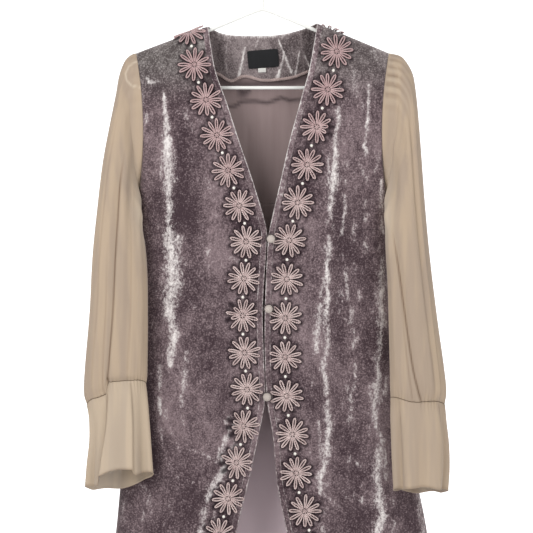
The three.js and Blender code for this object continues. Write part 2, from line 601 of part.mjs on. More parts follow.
// Trim. A chain is one solid: stars joined by narrow links that swell into beads.
// place(along, across, flower) gives the panel's surface at a flower's own coordinates.
function chain(flowers) {
  const points = [];
  const triangles = [];
  const post = (flower, a, c, height) => {
    points.push(lifted(flower.place, a, c, flower.seat), lifted(flower.place, a, c, flower.seat + height));
    return points.length - 2;
  };
  const plate = (...corners) => {
    for (const i of range(corners.length - 2)) {
      const [a, b, c] = [corners[0], corners[i + 1], corners[i + 2]];
      triangles.push([a + 1, b + 1, c + 1], [a, c, b]);
    }
  };
  const skirt = (a, b) => triangles.push([a, b, b + 1], [a, b + 1, a + 1]);
  const around = (flower, radius, angle, width, height) => {
    const [c, s] = [Math.cos(degrees(angle)), Math.sin(degrees(angle))];
    return post(flower, radius * c - width * s, radius * s + width * c, height);
  };

  const stars = flowers.map((flower) => {
    const centre = post(flower, 0, 0, FLOWER_HEIGHT.centre);
    const step = 360 / PETALS;
    // Roots stand between the petals. The first and the middle one are doubled, for the links.
    const roots = range(PETALS).map((k) => {
      if (k % (PETALS / 2)) {
        const root = around(flower, PETAL_ROOT, k * step, 0, FLOWER_HEIGHT.root);
        return { leaving: root, arriving: root };
      }
      const arriving = around(flower, PETAL_ROOT, k * step, -NECK_OF_LINK, FLOWER_HEIGHT.link);
      const leaving = around(flower, PETAL_ROOT, k * step, NECK_OF_LINK, FLOWER_HEIGHT.link);
      plate(centre, arriving, leaving);
      return { arriving, leaving };
    });
    for (const k of range(PETALS)) {
      const from = roots[k].leaving;
      const to = roots[(k + 1) % PETALS].arriving;
      const angle = (k + 0.5) * step;
      const tip = around(flower, PETAL_REACH, angle, 0, FLOWER_HEIGHT.tip);
      plate(centre, from, to);
      if (flower.bends) {
        const near = around(flower, PETAL_WAIST, angle, -PETAL_HALF_WIDTH, FLOWER_HEIGHT.waist);
        const far = around(flower, PETAL_WAIST, angle, PETAL_HALF_WIDTH, FLOWER_HEIGHT.waist);
        plate(from, near, far, to);
        plate(near, tip, far);
        skirt(from, near);
        skirt(near, tip);
        skirt(tip, far);
        skirt(far, to);
      } else {
        plate(from, tip, to);
        skirt(from, tip);
        skirt(tip, to);
      }
    }
    return { flower, ahead: roots[0], behind: roots[PETALS / 2] };
  });

  stars.forEach(({ flower, ahead }, i) => {
    const next = stars[i + 1];
    if (!next) {
      skirt(ahead.arriving, ahead.leaving);
      return;
    }
    const half = flower.spacing / 2;
    const low = post(flower, half, -BEAD_HALF_WIDTH, FLOWER_HEIGHT.bead);
    const high = post(flower, half, BEAD_HALF_WIDTH, FLOWER_HEIGHT.bead);
    plate(ahead.arriving, low, high, ahead.leaving);
    plate(low, next.behind.leaving, next.behind.arriving, high);
    skirt(ahead.arriving, low);
    skirt(low, next.behind.leaving);
    skirt(next.behind.arriving, high);
    skirt(high, ahead.leaving);
  });
  const first = stars[0].behind;
  skirt(first.arriving, first.leaving);
  return solid(points, triangles);
}

// Centres of the flowers down one front: an even pitch along the line that lies in from the edge,
// after the flower astride the shoulder seam if there is one.
function trimCentres(side) {
  const name = sideName(side);
  const { astrideZ, firstZ, pitch } = TRIM[name];
  const lineX = (z) => frontEdge(side, z) + side * along(TRIM_INSET, name, z);
  const centreAt = (z, astride) => {
    const reach = TRIM_TANGENT_REACH;
    const ahead = vector(lineX(z - reach) - lineX(z + reach), 0, -2 * reach).normalize();
    return { x: lineX(z), z, ahead, spacing: pitch, astride };
  };
  const step = 1;
  const centres = astrideZ ? [centreAt(astrideZ, true)] : [];
  let walked = 0;
  let next = 0;
  for (let z = firstZ; z > HEM_Z + PETAL_REACH + TRIM_HEM_CLEARANCE; z -= step) {
    if (walked >= next) {
      centres.push(centreAt(z, false));
      next += pitch;
    }
    walked += Math.hypot(lineX(z - step) - lineX(z), step);
  }
  return centres;
}

// Flat coordinates of a flower (along the chain, across it) as a place on its front.
const onFront = (side, { x, z, ahead }) => (a, c) => {
  const u = x + ahead.x * a - ahead.z * c;
  const v = z + ahead.z * a + ahead.x * c;
  return surface(side, -1, u, Math.min(v, topZ(u) - 0.01));
};

// A place measured down the cloth from the top edge at x: below 0 is the front, above 0 the back.
const WALK_STEPS = 60;
const WALK_ANGLE = 2;
function overTop(x, below) {
  const side = x < 0 ? -1 : 1;
  const facing = below < 0 ? -1 : 1;
  const top = topZ(x);
  let before = surface(side, facing, x, top);
  let walked = 0;
  for (const i of range(WALK_STEPS)) {
    const z = mix(top, UNDERARM_Z, (1 - Math.cos(degrees(WALK_ANGLE * (i + 1)))) / 2);
    const now = surface(side, facing, x, z);
    const length = now.distanceTo(before);
    if (walked + length >= Math.abs(below)) {
      return before.clone().lerp(now, (Math.abs(below) - walked) / length);
    }
    walked += length;
    before = now;
  }
  return before;
}

function frontTrim(side) {
  const flowers = trimCentres(side).map((centre) => {
    const bends = centre.z > topZ(centre.x) - 2 * PETAL_REACH;
    const seat = bends ? SHOULDER_TRIM_SEAT : TRIM_SEAT;
    if (!centre.astride) return { place: onFront(side, centre), bends, seat, spacing: centre.spacing };
    const place = (a, c) => {
      const u = centre.x + centre.ahead.x * a - centre.ahead.z * c;
      const fall = topZ(u) - (centre.z + centre.ahead.z * a + centre.ahead.x * c);
      return overTop(u, -fall);
    };
    return { place, bends, seat, spacing: centre.spacing };
  });
  return chain(flowers);
}

function neckTrim() {
  const flowers = NECK_FLOWERS.map((centre, i) => {
    const other = NECK_FLOWERS[i + 1] ?? NECK_FLOWERS[i - 1];
    const turn = NECK_FLOWERS[i + 1] ? 1 : -1;
    const run = vector(turn * (other.x - centre.x), 0, turn * (centre.below - other.below));
    const spacing = run.length();
    const ahead = run.normalize();
    const place = (a, c) => {
      const u = centre.x + ahead.x * a + ahead.z * c;
      const rise = ahead.z * a - ahead.x * c;
      return overTop(u, centre.below - rise + topZ(u) - topZ(centre.x));
    };
    return { place, bends: true, seat: SHOULDER_TRIM_SEAT, spacing };
  });
  return chain(flowers);
}
add("flower_trim_left", frontTrim(-1), MATERIALS.braid);
add("flower_trim_right", frontTrim(1), MATERIALS.braid);
add("flower_trim_neck", neckTrim(), MATERIALS.braid);

// A round tube through points: rings square to the run, closed into a hoop or capped at both ends.
function tube(points, radius, sides, closed) {
  const count = points.length;
  const normal = vector(0, 1, 0);
  const vertices = points.flatMap((point, i) => {
    const before = points[closed ? (i + count - 1) % count : Math.max(i - 1, 0)];
    const after = points[closed ? (i + 1) % count : Math.min(i + 1, count - 1)];
    const run = after.clone().sub(before).normalize();
    const third = run.clone().cross(normal).normalize();
    return range(sides).map((k) => {
      const angle = (2 * Math.PI * k) / sides;
      const ring = point.clone().addScaledVector(normal, radius * Math.cos(angle));
      return ring.addScaledVector(third, radius * Math.sin(angle));
    });
  });
  const triangles = [];
  const at = (i, k) => (i % count) * sides + (k % sides);
  for (const i of range(closed ? count : count - 1)) {
    for (const k of range(sides)) {
      triangles.push([at(i, k), at(i, k + 1), at(i + 1, k + 1)], [at(i, k), at(i + 1, k + 1), at(i + 1, k)]);
    }
  }
  if (!closed) {
    for (const k of range(sides - 2)) {
      triangles.push([at(0, 0), at(0, k + 2), at(0, k + 1)]);
      triangles.push([at(count - 1, 0), at(count - 1, k + 1), at(count - 1, k + 2)]);
    }
  }
  return solid(vertices, triangles);
}

// Buttons and loops
function buttonSeat({ x, z }) {
  return surface(1, -1, x, z).y - SEAM_GAP - BAND_THICKNESS - SEAM_GAP;
}
for (const button of BUTTONS) {
  const y = buttonSeat(button) - BUTTON_RADIUS;
  const ball = new THREE.SphereGeometry(BUTTON_RADIUS, BUTTON_SIDES, BUTTON_RINGS);
  add(`button_${button.name}`, ball.translate(button.x, y, button.z), MATERIALS.satin);
  const reach = BUTTON_RADIUS + LOOP_CORD_RADIUS + SEAM_GAP;
  const arc = range(LOOP_STEPS + 1).map((i) => {
    const angle = degrees(mix(LOOP_ANGLES.from, LOOP_ANGLES.to, i / LOOP_STEPS));
    return vector(button.x + reach * Math.cos(angle), y, button.z + reach * Math.sin(angle));
  });
  const turnIn = (point) => point.clone().setY(buttonSeat(button) - LOOP_CORD_RADIUS - SEAM_GAP);
  const path = arc.map((point, i) => {
    const lift = Math.sin((Math.PI * i) / LOOP_STEPS);
    return turnIn(point).lerp(point, lift);
  });
  add(`loop_${button.name}`, tube(path, LOOP_CORD_RADIUS, LOOP_SIDES, false), MATERIALS.velvet);
}

// Hanger: arms, round ends and bar in one hoop, with the hook joined to its top.
function hanger() {
  const armZ = (x) => ARM_APEX_Z - ARM_SLOPE * (Math.hypot(x, ARM_APEX_ROUND) - ARM_APEX_ROUND);
  const arms = ARM_X.map((x) => vector(x, 0, armZ(x)));
  const from = arms[arms.length - 1];
  const endZ = (from.z + BAR_Z) / 2;
  const endHeight = (from.z - BAR_Z) / 2;
  const round = range(END_STEPS + 1).map((i) => {
    const angle = degrees(mix(END_ANGLES.from, END_ANGLES.to, i / END_STEPS));
    const reach = (HANGER_HALF_SPAN - ARM_BEND_X) * Math.cos(angle);
    return vector(ARM_BEND_X + Math.max(reach, 0), 0, endZ + endHeight * Math.sin(angle));
  });
  const half = [...arms, ...round];
  const mirrored = half.slice(1).reverse().map((point) => vector(-point.x, 0, point.z));
  const hoop = tube([...half, ...mirrored], TUBE_RADIUS, TUBE_SIDES, true);
  const bend = range(HOOK_STEPS + 1).map((i) => {
    const angle = degrees(mix(HOOK_ANGLES.from, HOOK_ANGLES.to, i / HOOK_STEPS));
    return vector(HOOK_RADIUS * Math.cos(angle), 0, HOOK_CENTRE_Z + HOOK_RADIUS * Math.sin(angle));
  });
  const stem = [vector(0, 0, ARM_APEX_Z), vector(0, 0, ARM_APEX_Z + STEM_HEIGHT)];
  const hook = tube([...stem, ...bend], TUBE_RADIUS, TUBE_SIDES, false);
  return joined(hoop, hook);
}

// Two closed meshes made one.
function joined(first, second) {
  const asSolid = (geometry) => {
    const bare = geometry.clone();
    bare.deleteAttribute("normal");
    const merged = mergeVertices(bare, MERGE_DISTANCE);
    const triVerts = new Uint32Array(merged.index.array);
    const vertProperties = merged.attributes.position.array;
    return new wasm.Manifold(new wasm.Mesh({ numProp: 3, vertProperties, triVerts }));
  };
  const { vertProperties, triVerts } = asSolid(first).add(asSolid(second)).getMesh();
  const geometry = new THREE.BufferGeometry();
  geometry.setAttribute("position", new THREE.BufferAttribute(new Float32Array(vertProperties), 3));
  geometry.setIndex(new THREE.BufferAttribute(new Uint32Array(triVerts), 1));
  geometry.computeVertexNormals();
  return geometry;
}
add("hanger", hanger(), MATERIALS.tube);

export default coat;
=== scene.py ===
# %% [markdown]
# # A long velvet coat on a hanger
# The real thing is a sleeveless crushed velvet body with sheer sleeves sewn into its armholes.
# It hangs from a white tube hanger, so every panel falls from the shoulders.
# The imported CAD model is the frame: each piece below is worked out as a finer surface over the CAD solid
# of the same name, and then stands in for it.
# Lengths are in millimetres here, as on a sewing pattern, and turned into metres when a mesh is made.

import math

import bpy
import numpy as np
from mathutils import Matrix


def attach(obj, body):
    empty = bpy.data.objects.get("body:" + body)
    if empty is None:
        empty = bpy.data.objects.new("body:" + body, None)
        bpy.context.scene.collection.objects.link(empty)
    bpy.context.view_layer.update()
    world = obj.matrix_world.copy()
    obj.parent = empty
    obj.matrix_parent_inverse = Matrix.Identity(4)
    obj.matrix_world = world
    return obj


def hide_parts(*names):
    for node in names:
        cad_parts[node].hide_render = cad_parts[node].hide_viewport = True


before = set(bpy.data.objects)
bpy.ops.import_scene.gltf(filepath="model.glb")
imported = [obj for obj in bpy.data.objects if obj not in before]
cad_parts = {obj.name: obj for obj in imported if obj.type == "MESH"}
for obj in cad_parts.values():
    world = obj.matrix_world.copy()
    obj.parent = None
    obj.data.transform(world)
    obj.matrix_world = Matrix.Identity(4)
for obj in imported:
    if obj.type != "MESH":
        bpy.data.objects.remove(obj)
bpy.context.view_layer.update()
MM = 0.001
CHANCE = np.random.default_rng(7)

# %% [markdown]
# ## Curves and grids
# A garment is drawn from a few measured places with soft curves between them.
# All helpers work on whole arrays, so a panel of twenty thousand points costs a few lines.


# %% Curves
def ease(value, start, end):
    """Rises from 0 at start to 1 at end as 3t^2 - 2t^3; start may be the larger."""
    t = np.clip((value - start) / (end - start), 0, 1)
    return t * t * (3 - 2 * t)


def mix(a, b, t):
    """a where t is 0 and b where t is 1, straight between."""
    return a + (b - a) * t


def bell(distance, width, power=2):
    """1 in the middle, falling off to both sides as exp(-(distance / width)^power)."""
    return np.exp(-((distance / width) ** power))


def along(keys, values, at):
    """A smooth curve through (key, value): a cubic between two places, whose slope at each place is
    that of the line joining its two neighbours."""
    keys, values = np.asarray(keys, float), np.asarray(values, float)
    if keys[0] > keys[-1]:
        keys, values = keys[::-1], values[::-1]
    low = np.maximum(np.arange(len(keys)) - 1, 0)
    high = np.minimum(np.arange(len(keys)) + 1, len(keys) - 1)
    slope = (values[high] - values[low]) / (keys[high] - keys[low])
    at = np.clip(at, keys[0], keys[-1])
    i = np.clip(np.searchsorted(keys, at) - 1, 0, len(keys) - 2)
    span = keys[i + 1] - keys[i]
    t = (at - keys[i]) / span
    rise = ((1 - t) * slope[i] - t * slope[i + 1]) * span * t * (1 - t)
    return mix(values[i], values[i + 1], t * t * (3 - 2 * t)) + rise


def near_line(x, z, line):
    """For points (x, z), how close each is to a polyline of (x, z, half width): a bell whose width runs
    evenly from one corner to the next."""
    best = np.zeros(np.broadcast(x, z).shape)
    for (x0, z0, w0), (x1, z1, w1) in zip(line[:-1], line[1:]):
        run = np.array([x1 - x0, z1 - z0], float)
        t = np.clip(((x - x0) * run[0] + (z - z0) * run[1]) / max(run @ run, 1e-9), 0, 1)
        off = np.hypot(x - x0 - t * run[0], z - z0 - t * run[1])
        best = np.maximum(best, bell(off, mix(w0, w1, t)))
    return best


# %% Grids into meshes
def unit(v):
    """Vectors of length 1."""
    return v / np.maximum(np.linalg.norm(v, axis=-1, keepdims=True), 1e-9)


def grid_normals(points, wraps=False):
    """The cross product of the differences to the neighbours across and down, made length 1."""
    if wraps:
        across = np.roll(points, -1, axis=1) - np.roll(points, 1, axis=1)
    else:
        across = np.gradient(points, axis=1)
    return unit(np.cross(across, np.gradient(points, axis=0)))


def grid_faces(rows, columns, wraps=False, start=0):
    """Four-cornered faces of a grid, as indices of its points counted row by row."""
    wide = columns if wraps else columns - 1
    r, c = np.meshgrid(np.arange(rows - 1), np.arange(wide), indexing="ij")
    after = (c + 1) % columns
    corners = [r * columns + c, r * columns + after, (r + 1) * columns + after, (r + 1) * columns + c]
    return np.stack(corners, axis=-1).reshape(-1, 4) + start


def make_piece(name, points, faces, node=None, slot=None, material=(), marks=None, closed=False):
    """A mesh object at the origin from points in millimetres. marks are numbers kept on the points,
    for the material to read. closed says that the faces shut a volume, so they can be turned outwards."""
    points = np.asarray(points, float).reshape(-1, 3)
    faces = np.asarray(faces)
    if closed:
        a, b, c = points[faces[:, 0]], points[faces[:, 1]], points[faces[:, 2]]
        d = points[faces[:, -1]]
        volume = (a * np.cross(b, c)).sum() + (a * np.cross(c, d)).sum()
        faces = faces if volume > 0 else faces[:, ::-1]
    mesh = bpy.data.meshes.new(name)
    mesh.from_pydata((points * MM).tolist(), [], faces.tolist())
    mesh.polygons.foreach_set("use_smooth", np.ones(len(mesh.polygons), bool))
    for mark, values in (marks or {}).items():
        layer = mesh.attributes.new(mark, "FLOAT", "POINT")
        layer.data.foreach_set("value", np.asarray(values, np.float32).ravel())
    for one in material:
        mesh.materials.append(one)
    mesh.update()
    piece = bpy.data.objects.new(name, mesh)
    bpy.context.collection.objects.link(piece)
    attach(piece, "root")
    if node:
        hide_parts(node)
    print(f"{name}: {len(points)} points, {len(faces)} faces")
    return piece


def faced(points, faces, outwards):
    """The faces turned so that most of them look along outwards, one vector for each point of the grid."""
    a, b, d = points[faces[:, 0]], points[faces[:, 1]], points[faces[:, 3]]
    looks = (np.cross(b - a, d - a) * outwards[faces[:, 0]]).sum()
    return faces if looks > 0 else faces[:, ::-1]


def make_sheet(name, points, outwards, thickness, wraps=False, **rest):
    """A grid of points as cloth: one layer on its outer side, given its thickness inwards by Solidify."""
    rows, columns = points.shape[:2]
    flat = points.reshape(-1, 3)
    looks = np.broadcast_to(outwards, points.shape).reshape(-1, 3)
    faces = faced(flat, grid_faces(rows, columns, wraps), looks)
    piece = make_piece(name, flat, faces, **rest)
    wall = piece.modifiers.new("cloth_thickness", "SOLIDIFY")
    wall.thickness = thickness * MM
    wall.offset = -1
    wall.use_even_offset = False
    if len(piece.data.materials) > 1:
        wall.material_offset = 1
    return piece


def swept(path, radius, sides=12, closed=False):
    """Points and faces of round tubes: a ring of the given radius square to each place of a path.
    path is (tubes, places, 3); the rings turn as little as the path lets them."""
    path = np.asarray(path, float)
    path = path[None] if path.ndim == 2 else path
    if closed:
        run = unit(np.roll(path, -1, axis=1) - np.roll(path, 1, axis=1))
    else:
        run = unit(np.gradient(path, axis=1))
    seed = np.where(np.abs(run[..., 1:2]) > 0.9, [1.0, 0, 0], [0, 1.0, 0])
    first = unit(np.cross(run, seed))
    second = np.cross(run, first)
    angle = np.linspace(0, 2 * np.pi, sides, endpoint=False)
    radius = np.broadcast_to(radius, path.shape[:2])[..., None, None]
    ring = first[:, :, None] * np.cos(angle)[None, None, :, None]
    ring = ring + second[:, :, None] * np.sin(angle)[None, None, :, None]
    points = path[:, :, None] + ring * radius
    tubes, places = path.shape[:2]
    count = places + 1 if closed else places
    one = grid_faces(count, sides, wraps=True)
    if closed:
        one = one % (places * sides)
    starts = np.arange(tubes) * places * sides
    faces = (one[None] + starts[:, None, None]).reshape(-1, 4)
    return points.reshape(-1, 3), faces


def balls(centres, radii, sides=10, stacks=7, squash=1.0, up=None):
    """Round beads: (sin v cos u, sin v sin u, cos v) times each radius, around each centre.
    Where up is given, the bead is squashed along it."""
    u = np.linspace(0, 2 * np.pi, sides, endpoint=False)
    v = np.linspace(0.05, np.pi - 0.05, stacks)
    vv, uu = np.meshgrid(v, u, indexing="ij")
    ball = np.stack([np.sin(vv) * np.cos(uu), np.sin(vv) * np.sin(uu), np.cos(vv)], -1).reshape(-1, 3)
    centres = np.atleast_2d(centres)
    radii = np.broadcast_to(radii, len(centres))[:, None, None]
    shape = ball[None] * radii
    if up is not None:
        axis = np.atleast_2d(up)[:, None]
        rise = (shape * axis).sum(-1, keepdims=True)
        shape = shape + axis * rise * (squash - 1)
    faces = grid_faces(stacks, sides, wraps=True)
    starts = np.arange(len(centres)) * len(ball)
    return (centres[:, None] + shape).reshape(-1, 3), (faces[None] + starts[:, None, None]).reshape(-1, 4)


def gathered(*parts):
    """Several (points, faces) as one, with the faces counted on."""
    points, faces, start = [], [], 0
    for some, their in parts:
        points.append(some)
        faces.append(their + start)
        start += len(some)
    return np.concatenate(points), np.concatenate(faces)


# %% [markdown]
# ## The garment's own measures
# These are the same places as the CAD part was drawn from: the neck, the shoulders, the front edges
# down to where they swing apart, and the width of the coat at seven heights.
# Left and right are the viewer's.

# %% Measures
LEFT, RIGHT = -1, 1
NECK_HALF_WIDTH, BACK_NECK_Z = 82, -119.5
# Height of each shoulder seam at the neck, and how late the back neck edge turns up to it.
NECK_POINTS = {LEFT: (-105.5, 4.5), RIGHT: (-101, 2)}
SHOULDER_HALF_WIDTH, SHOULDER_TIP_Z = 190, -146
UNDERARM_Z, HEM_Z = -372, -1305
BACK_NECK_SET_BACK, BACK_NECK_ROUNDNESS = 14, 8
NECK_TURN, ARMHOLE_FOOT = (58, 76), 0.55
ARMHOLE_HOLLOW, ARMHOLE_LEAN, ARMHOLE_HALF_DEPTH, SHOULDER_DOME = 10, 2, 32, 131
SIDE_ROUNDNESS = 3.4
VELVET, CHIFFON, SEAM_GAP = 1.8, 0.9, 0.3

# z, half width left, right, how far front and back stand from the middle, and where the side seam is.
SECTIONS = np.array([
    (UNDERARM_Z, 188, 188, 36, 34, 8),
    (-480, 189, 190, 37, 36, 10),
    (-600, 196, 200, 37, 37, 12),
    (-720, 208, 218, 37, 38, 13),
    (-867, 221, 248, 38, 40, 11),
    (-1080, 248, 276, 41, 43, 6),
    (HEM_Z, 276, 302, 45, 47, 2),
], float)
SECTION_FRONT, SECTION_BACK, SECTION_SIDE = 3, 4, 5

# z, and x of the left and the right front edge.
FRONT_EDGES = np.array([
    (-104, -NECK_HALF_WIDTH, NECK_HALF_WIDTH),
    (-171, -71, 70), (-220, -54, 56.5), (-277, -35.5, 41), (-345, -12.5, 25.5),
    (-412, 6.2, 10.4), (-440, 5.6, 7.4), (-530, 0.5, 3.6), (-600, 1.8, 3.4),
    (-668, 3.6, 6.8), (-722, -6, 15.6), (-790, -21, 21.5), (-867, -39.5, 36),
    (-1080, -84, 71), (HEM_Z, -130, 107),
], float)

# The skirt's soft vertical folds: share of the way across, half width, height at the hem, start height.
FOLDS = {
    "left": [(0.42, 0.13, 10, -560), (0.74, 0.1, 13, -640)],
    "right": [(0.4, 0.12, 9, -600), (0.72, 0.12, 14, -560)],
    "back": [(-0.7, 0.1, 13, -620), (-0.33, 0.1, 10, -700), (0.04, 0.11, 12, -560),
             (0.4, 0.1, 9, -680), (0.73, 0.1, 14, -600)],
}


# %% The surface of the coat
def side_column(side):
    """Which column of a table is this side's."""
    return 1 if side == LEFT else 2


def side_name(side):
    return "left" if side == LEFT else "right"


def section(column, z):
    """One column of SECTIONS at any height."""
    return along(SECTIONS[:, 0], SECTIONS[:, column], z)


def front_edge(side, z):
    return along(FRONT_EDGES[:, 0], FRONT_EDGES[:, side_column(side)], z)


def top_z(x):
    """Height of the top edge: behind the neck it turns up to each neck point as a power of the share of
    the way there, and then a straight shoulder line goes down."""
    across = np.abs(x)
    share = np.minimum(across / NECK_HALF_WIDTH, 1)
    point, lateness = (np.where(x < 0, *pair) for pair in zip(NECK_POINTS[LEFT], NECK_POINTS[RIGHT]))
    slope = (SHOULDER_TIP_Z - point) / (SHOULDER_HALF_WIDTH - NECK_HALF_WIDTH)
    shoulder = point + slope * (np.minimum(across, SHOULDER_HALF_WIDTH) - NECK_HALF_WIDTH)
    return np.where(share < 1, mix(BACK_NECK_Z, point, share**lateness), shoulder)


def armhole_x(drop):
    """The armhole curves in towards the body; drop is 0 at the shoulder and 1 under the arm."""
    return SHOULDER_HALF_WIDTH - ARMHOLE_LEAN * drop - 4 * ARMHOLE_HOLLOW * drop * (1 - drop)


def armhole_y(drop):
    return ARMHOLE_HALF_DEPTH * 2 * np.sqrt(np.maximum(0, drop * (1 - drop)))


def fold_height(panel, across, z):
    """The skirt's folds: bell curves across the panel that grow from their start height to the hem."""
    total = np.zeros(np.broadcast(across, z).shape)
    for at, wide, deep, start in FOLDS[panel]:
        total = total + deep * ease(z, start, HEM_Z) * bell(across - at, wide)
    return total


def depth_at(side, facing, x, z):
    """y of the cloth at (x, z). Across a panel it follows a flattened oval (1 - s^p)^(1/p) between the
    side seam and the middle. Over the shoulders the middle itself rises from the top edge as a dome."""
    across = np.abs(x)
    top = top_z(side * np.maximum(across, NECK_HALF_WIDTH)) if facing < 0 else top_z(x)
    drop = np.clip((top - z) / (top - UNDERARM_Z), 0, 1)
    fall = np.clip((top - z) / SHOULDER_DOME, 0, 1)
    dome, plain = np.sqrt(1 - (1 - fall) ** 2), np.sin(fall * np.pi / 2)
    rise = dome if facing < 0 else mix(plain, dome, ease(across, *NECK_TURN))
    neck = np.maximum(0, 1 - (across / NECK_HALF_WIDTH) ** BACK_NECK_ROUNDNESS)
    full = SECTION_FRONT if facing < 0 else SECTION_BACK
    start = 0 if facing < 0 else BACK_NECK_SET_BACK * neck
    above_edge = armhole_y(drop) + facing * SECTIONS[0, SECTION_SIDE] * ease(drop, ARMHOLE_FOOT, 1)
    above = z > UNDERARM_Z
    middle = facing * np.where(above, mix(start, SECTIONS[0, full], rise), section(full, z))
    edge = np.where(above, facing * above_edge, section(SECTION_SIDE, z))
    half = np.where(above, armhole_x(drop), section(side_column(side), z))
    share = np.clip(across / half, 0, 1)
    crown = (1 - share**SIDE_ROUNDNESS) ** (1 / SIDE_ROUNDNESS)
    begin = front_edge(side, z) if facing < 0 else 0
    part = (x - begin) / (side * half - begin) if facing < 0 else x / half
    panel = side_name(side) if facing < 0 else "back"
    return mix(edge, middle, crown) + facing * fold_height(panel, part, z)
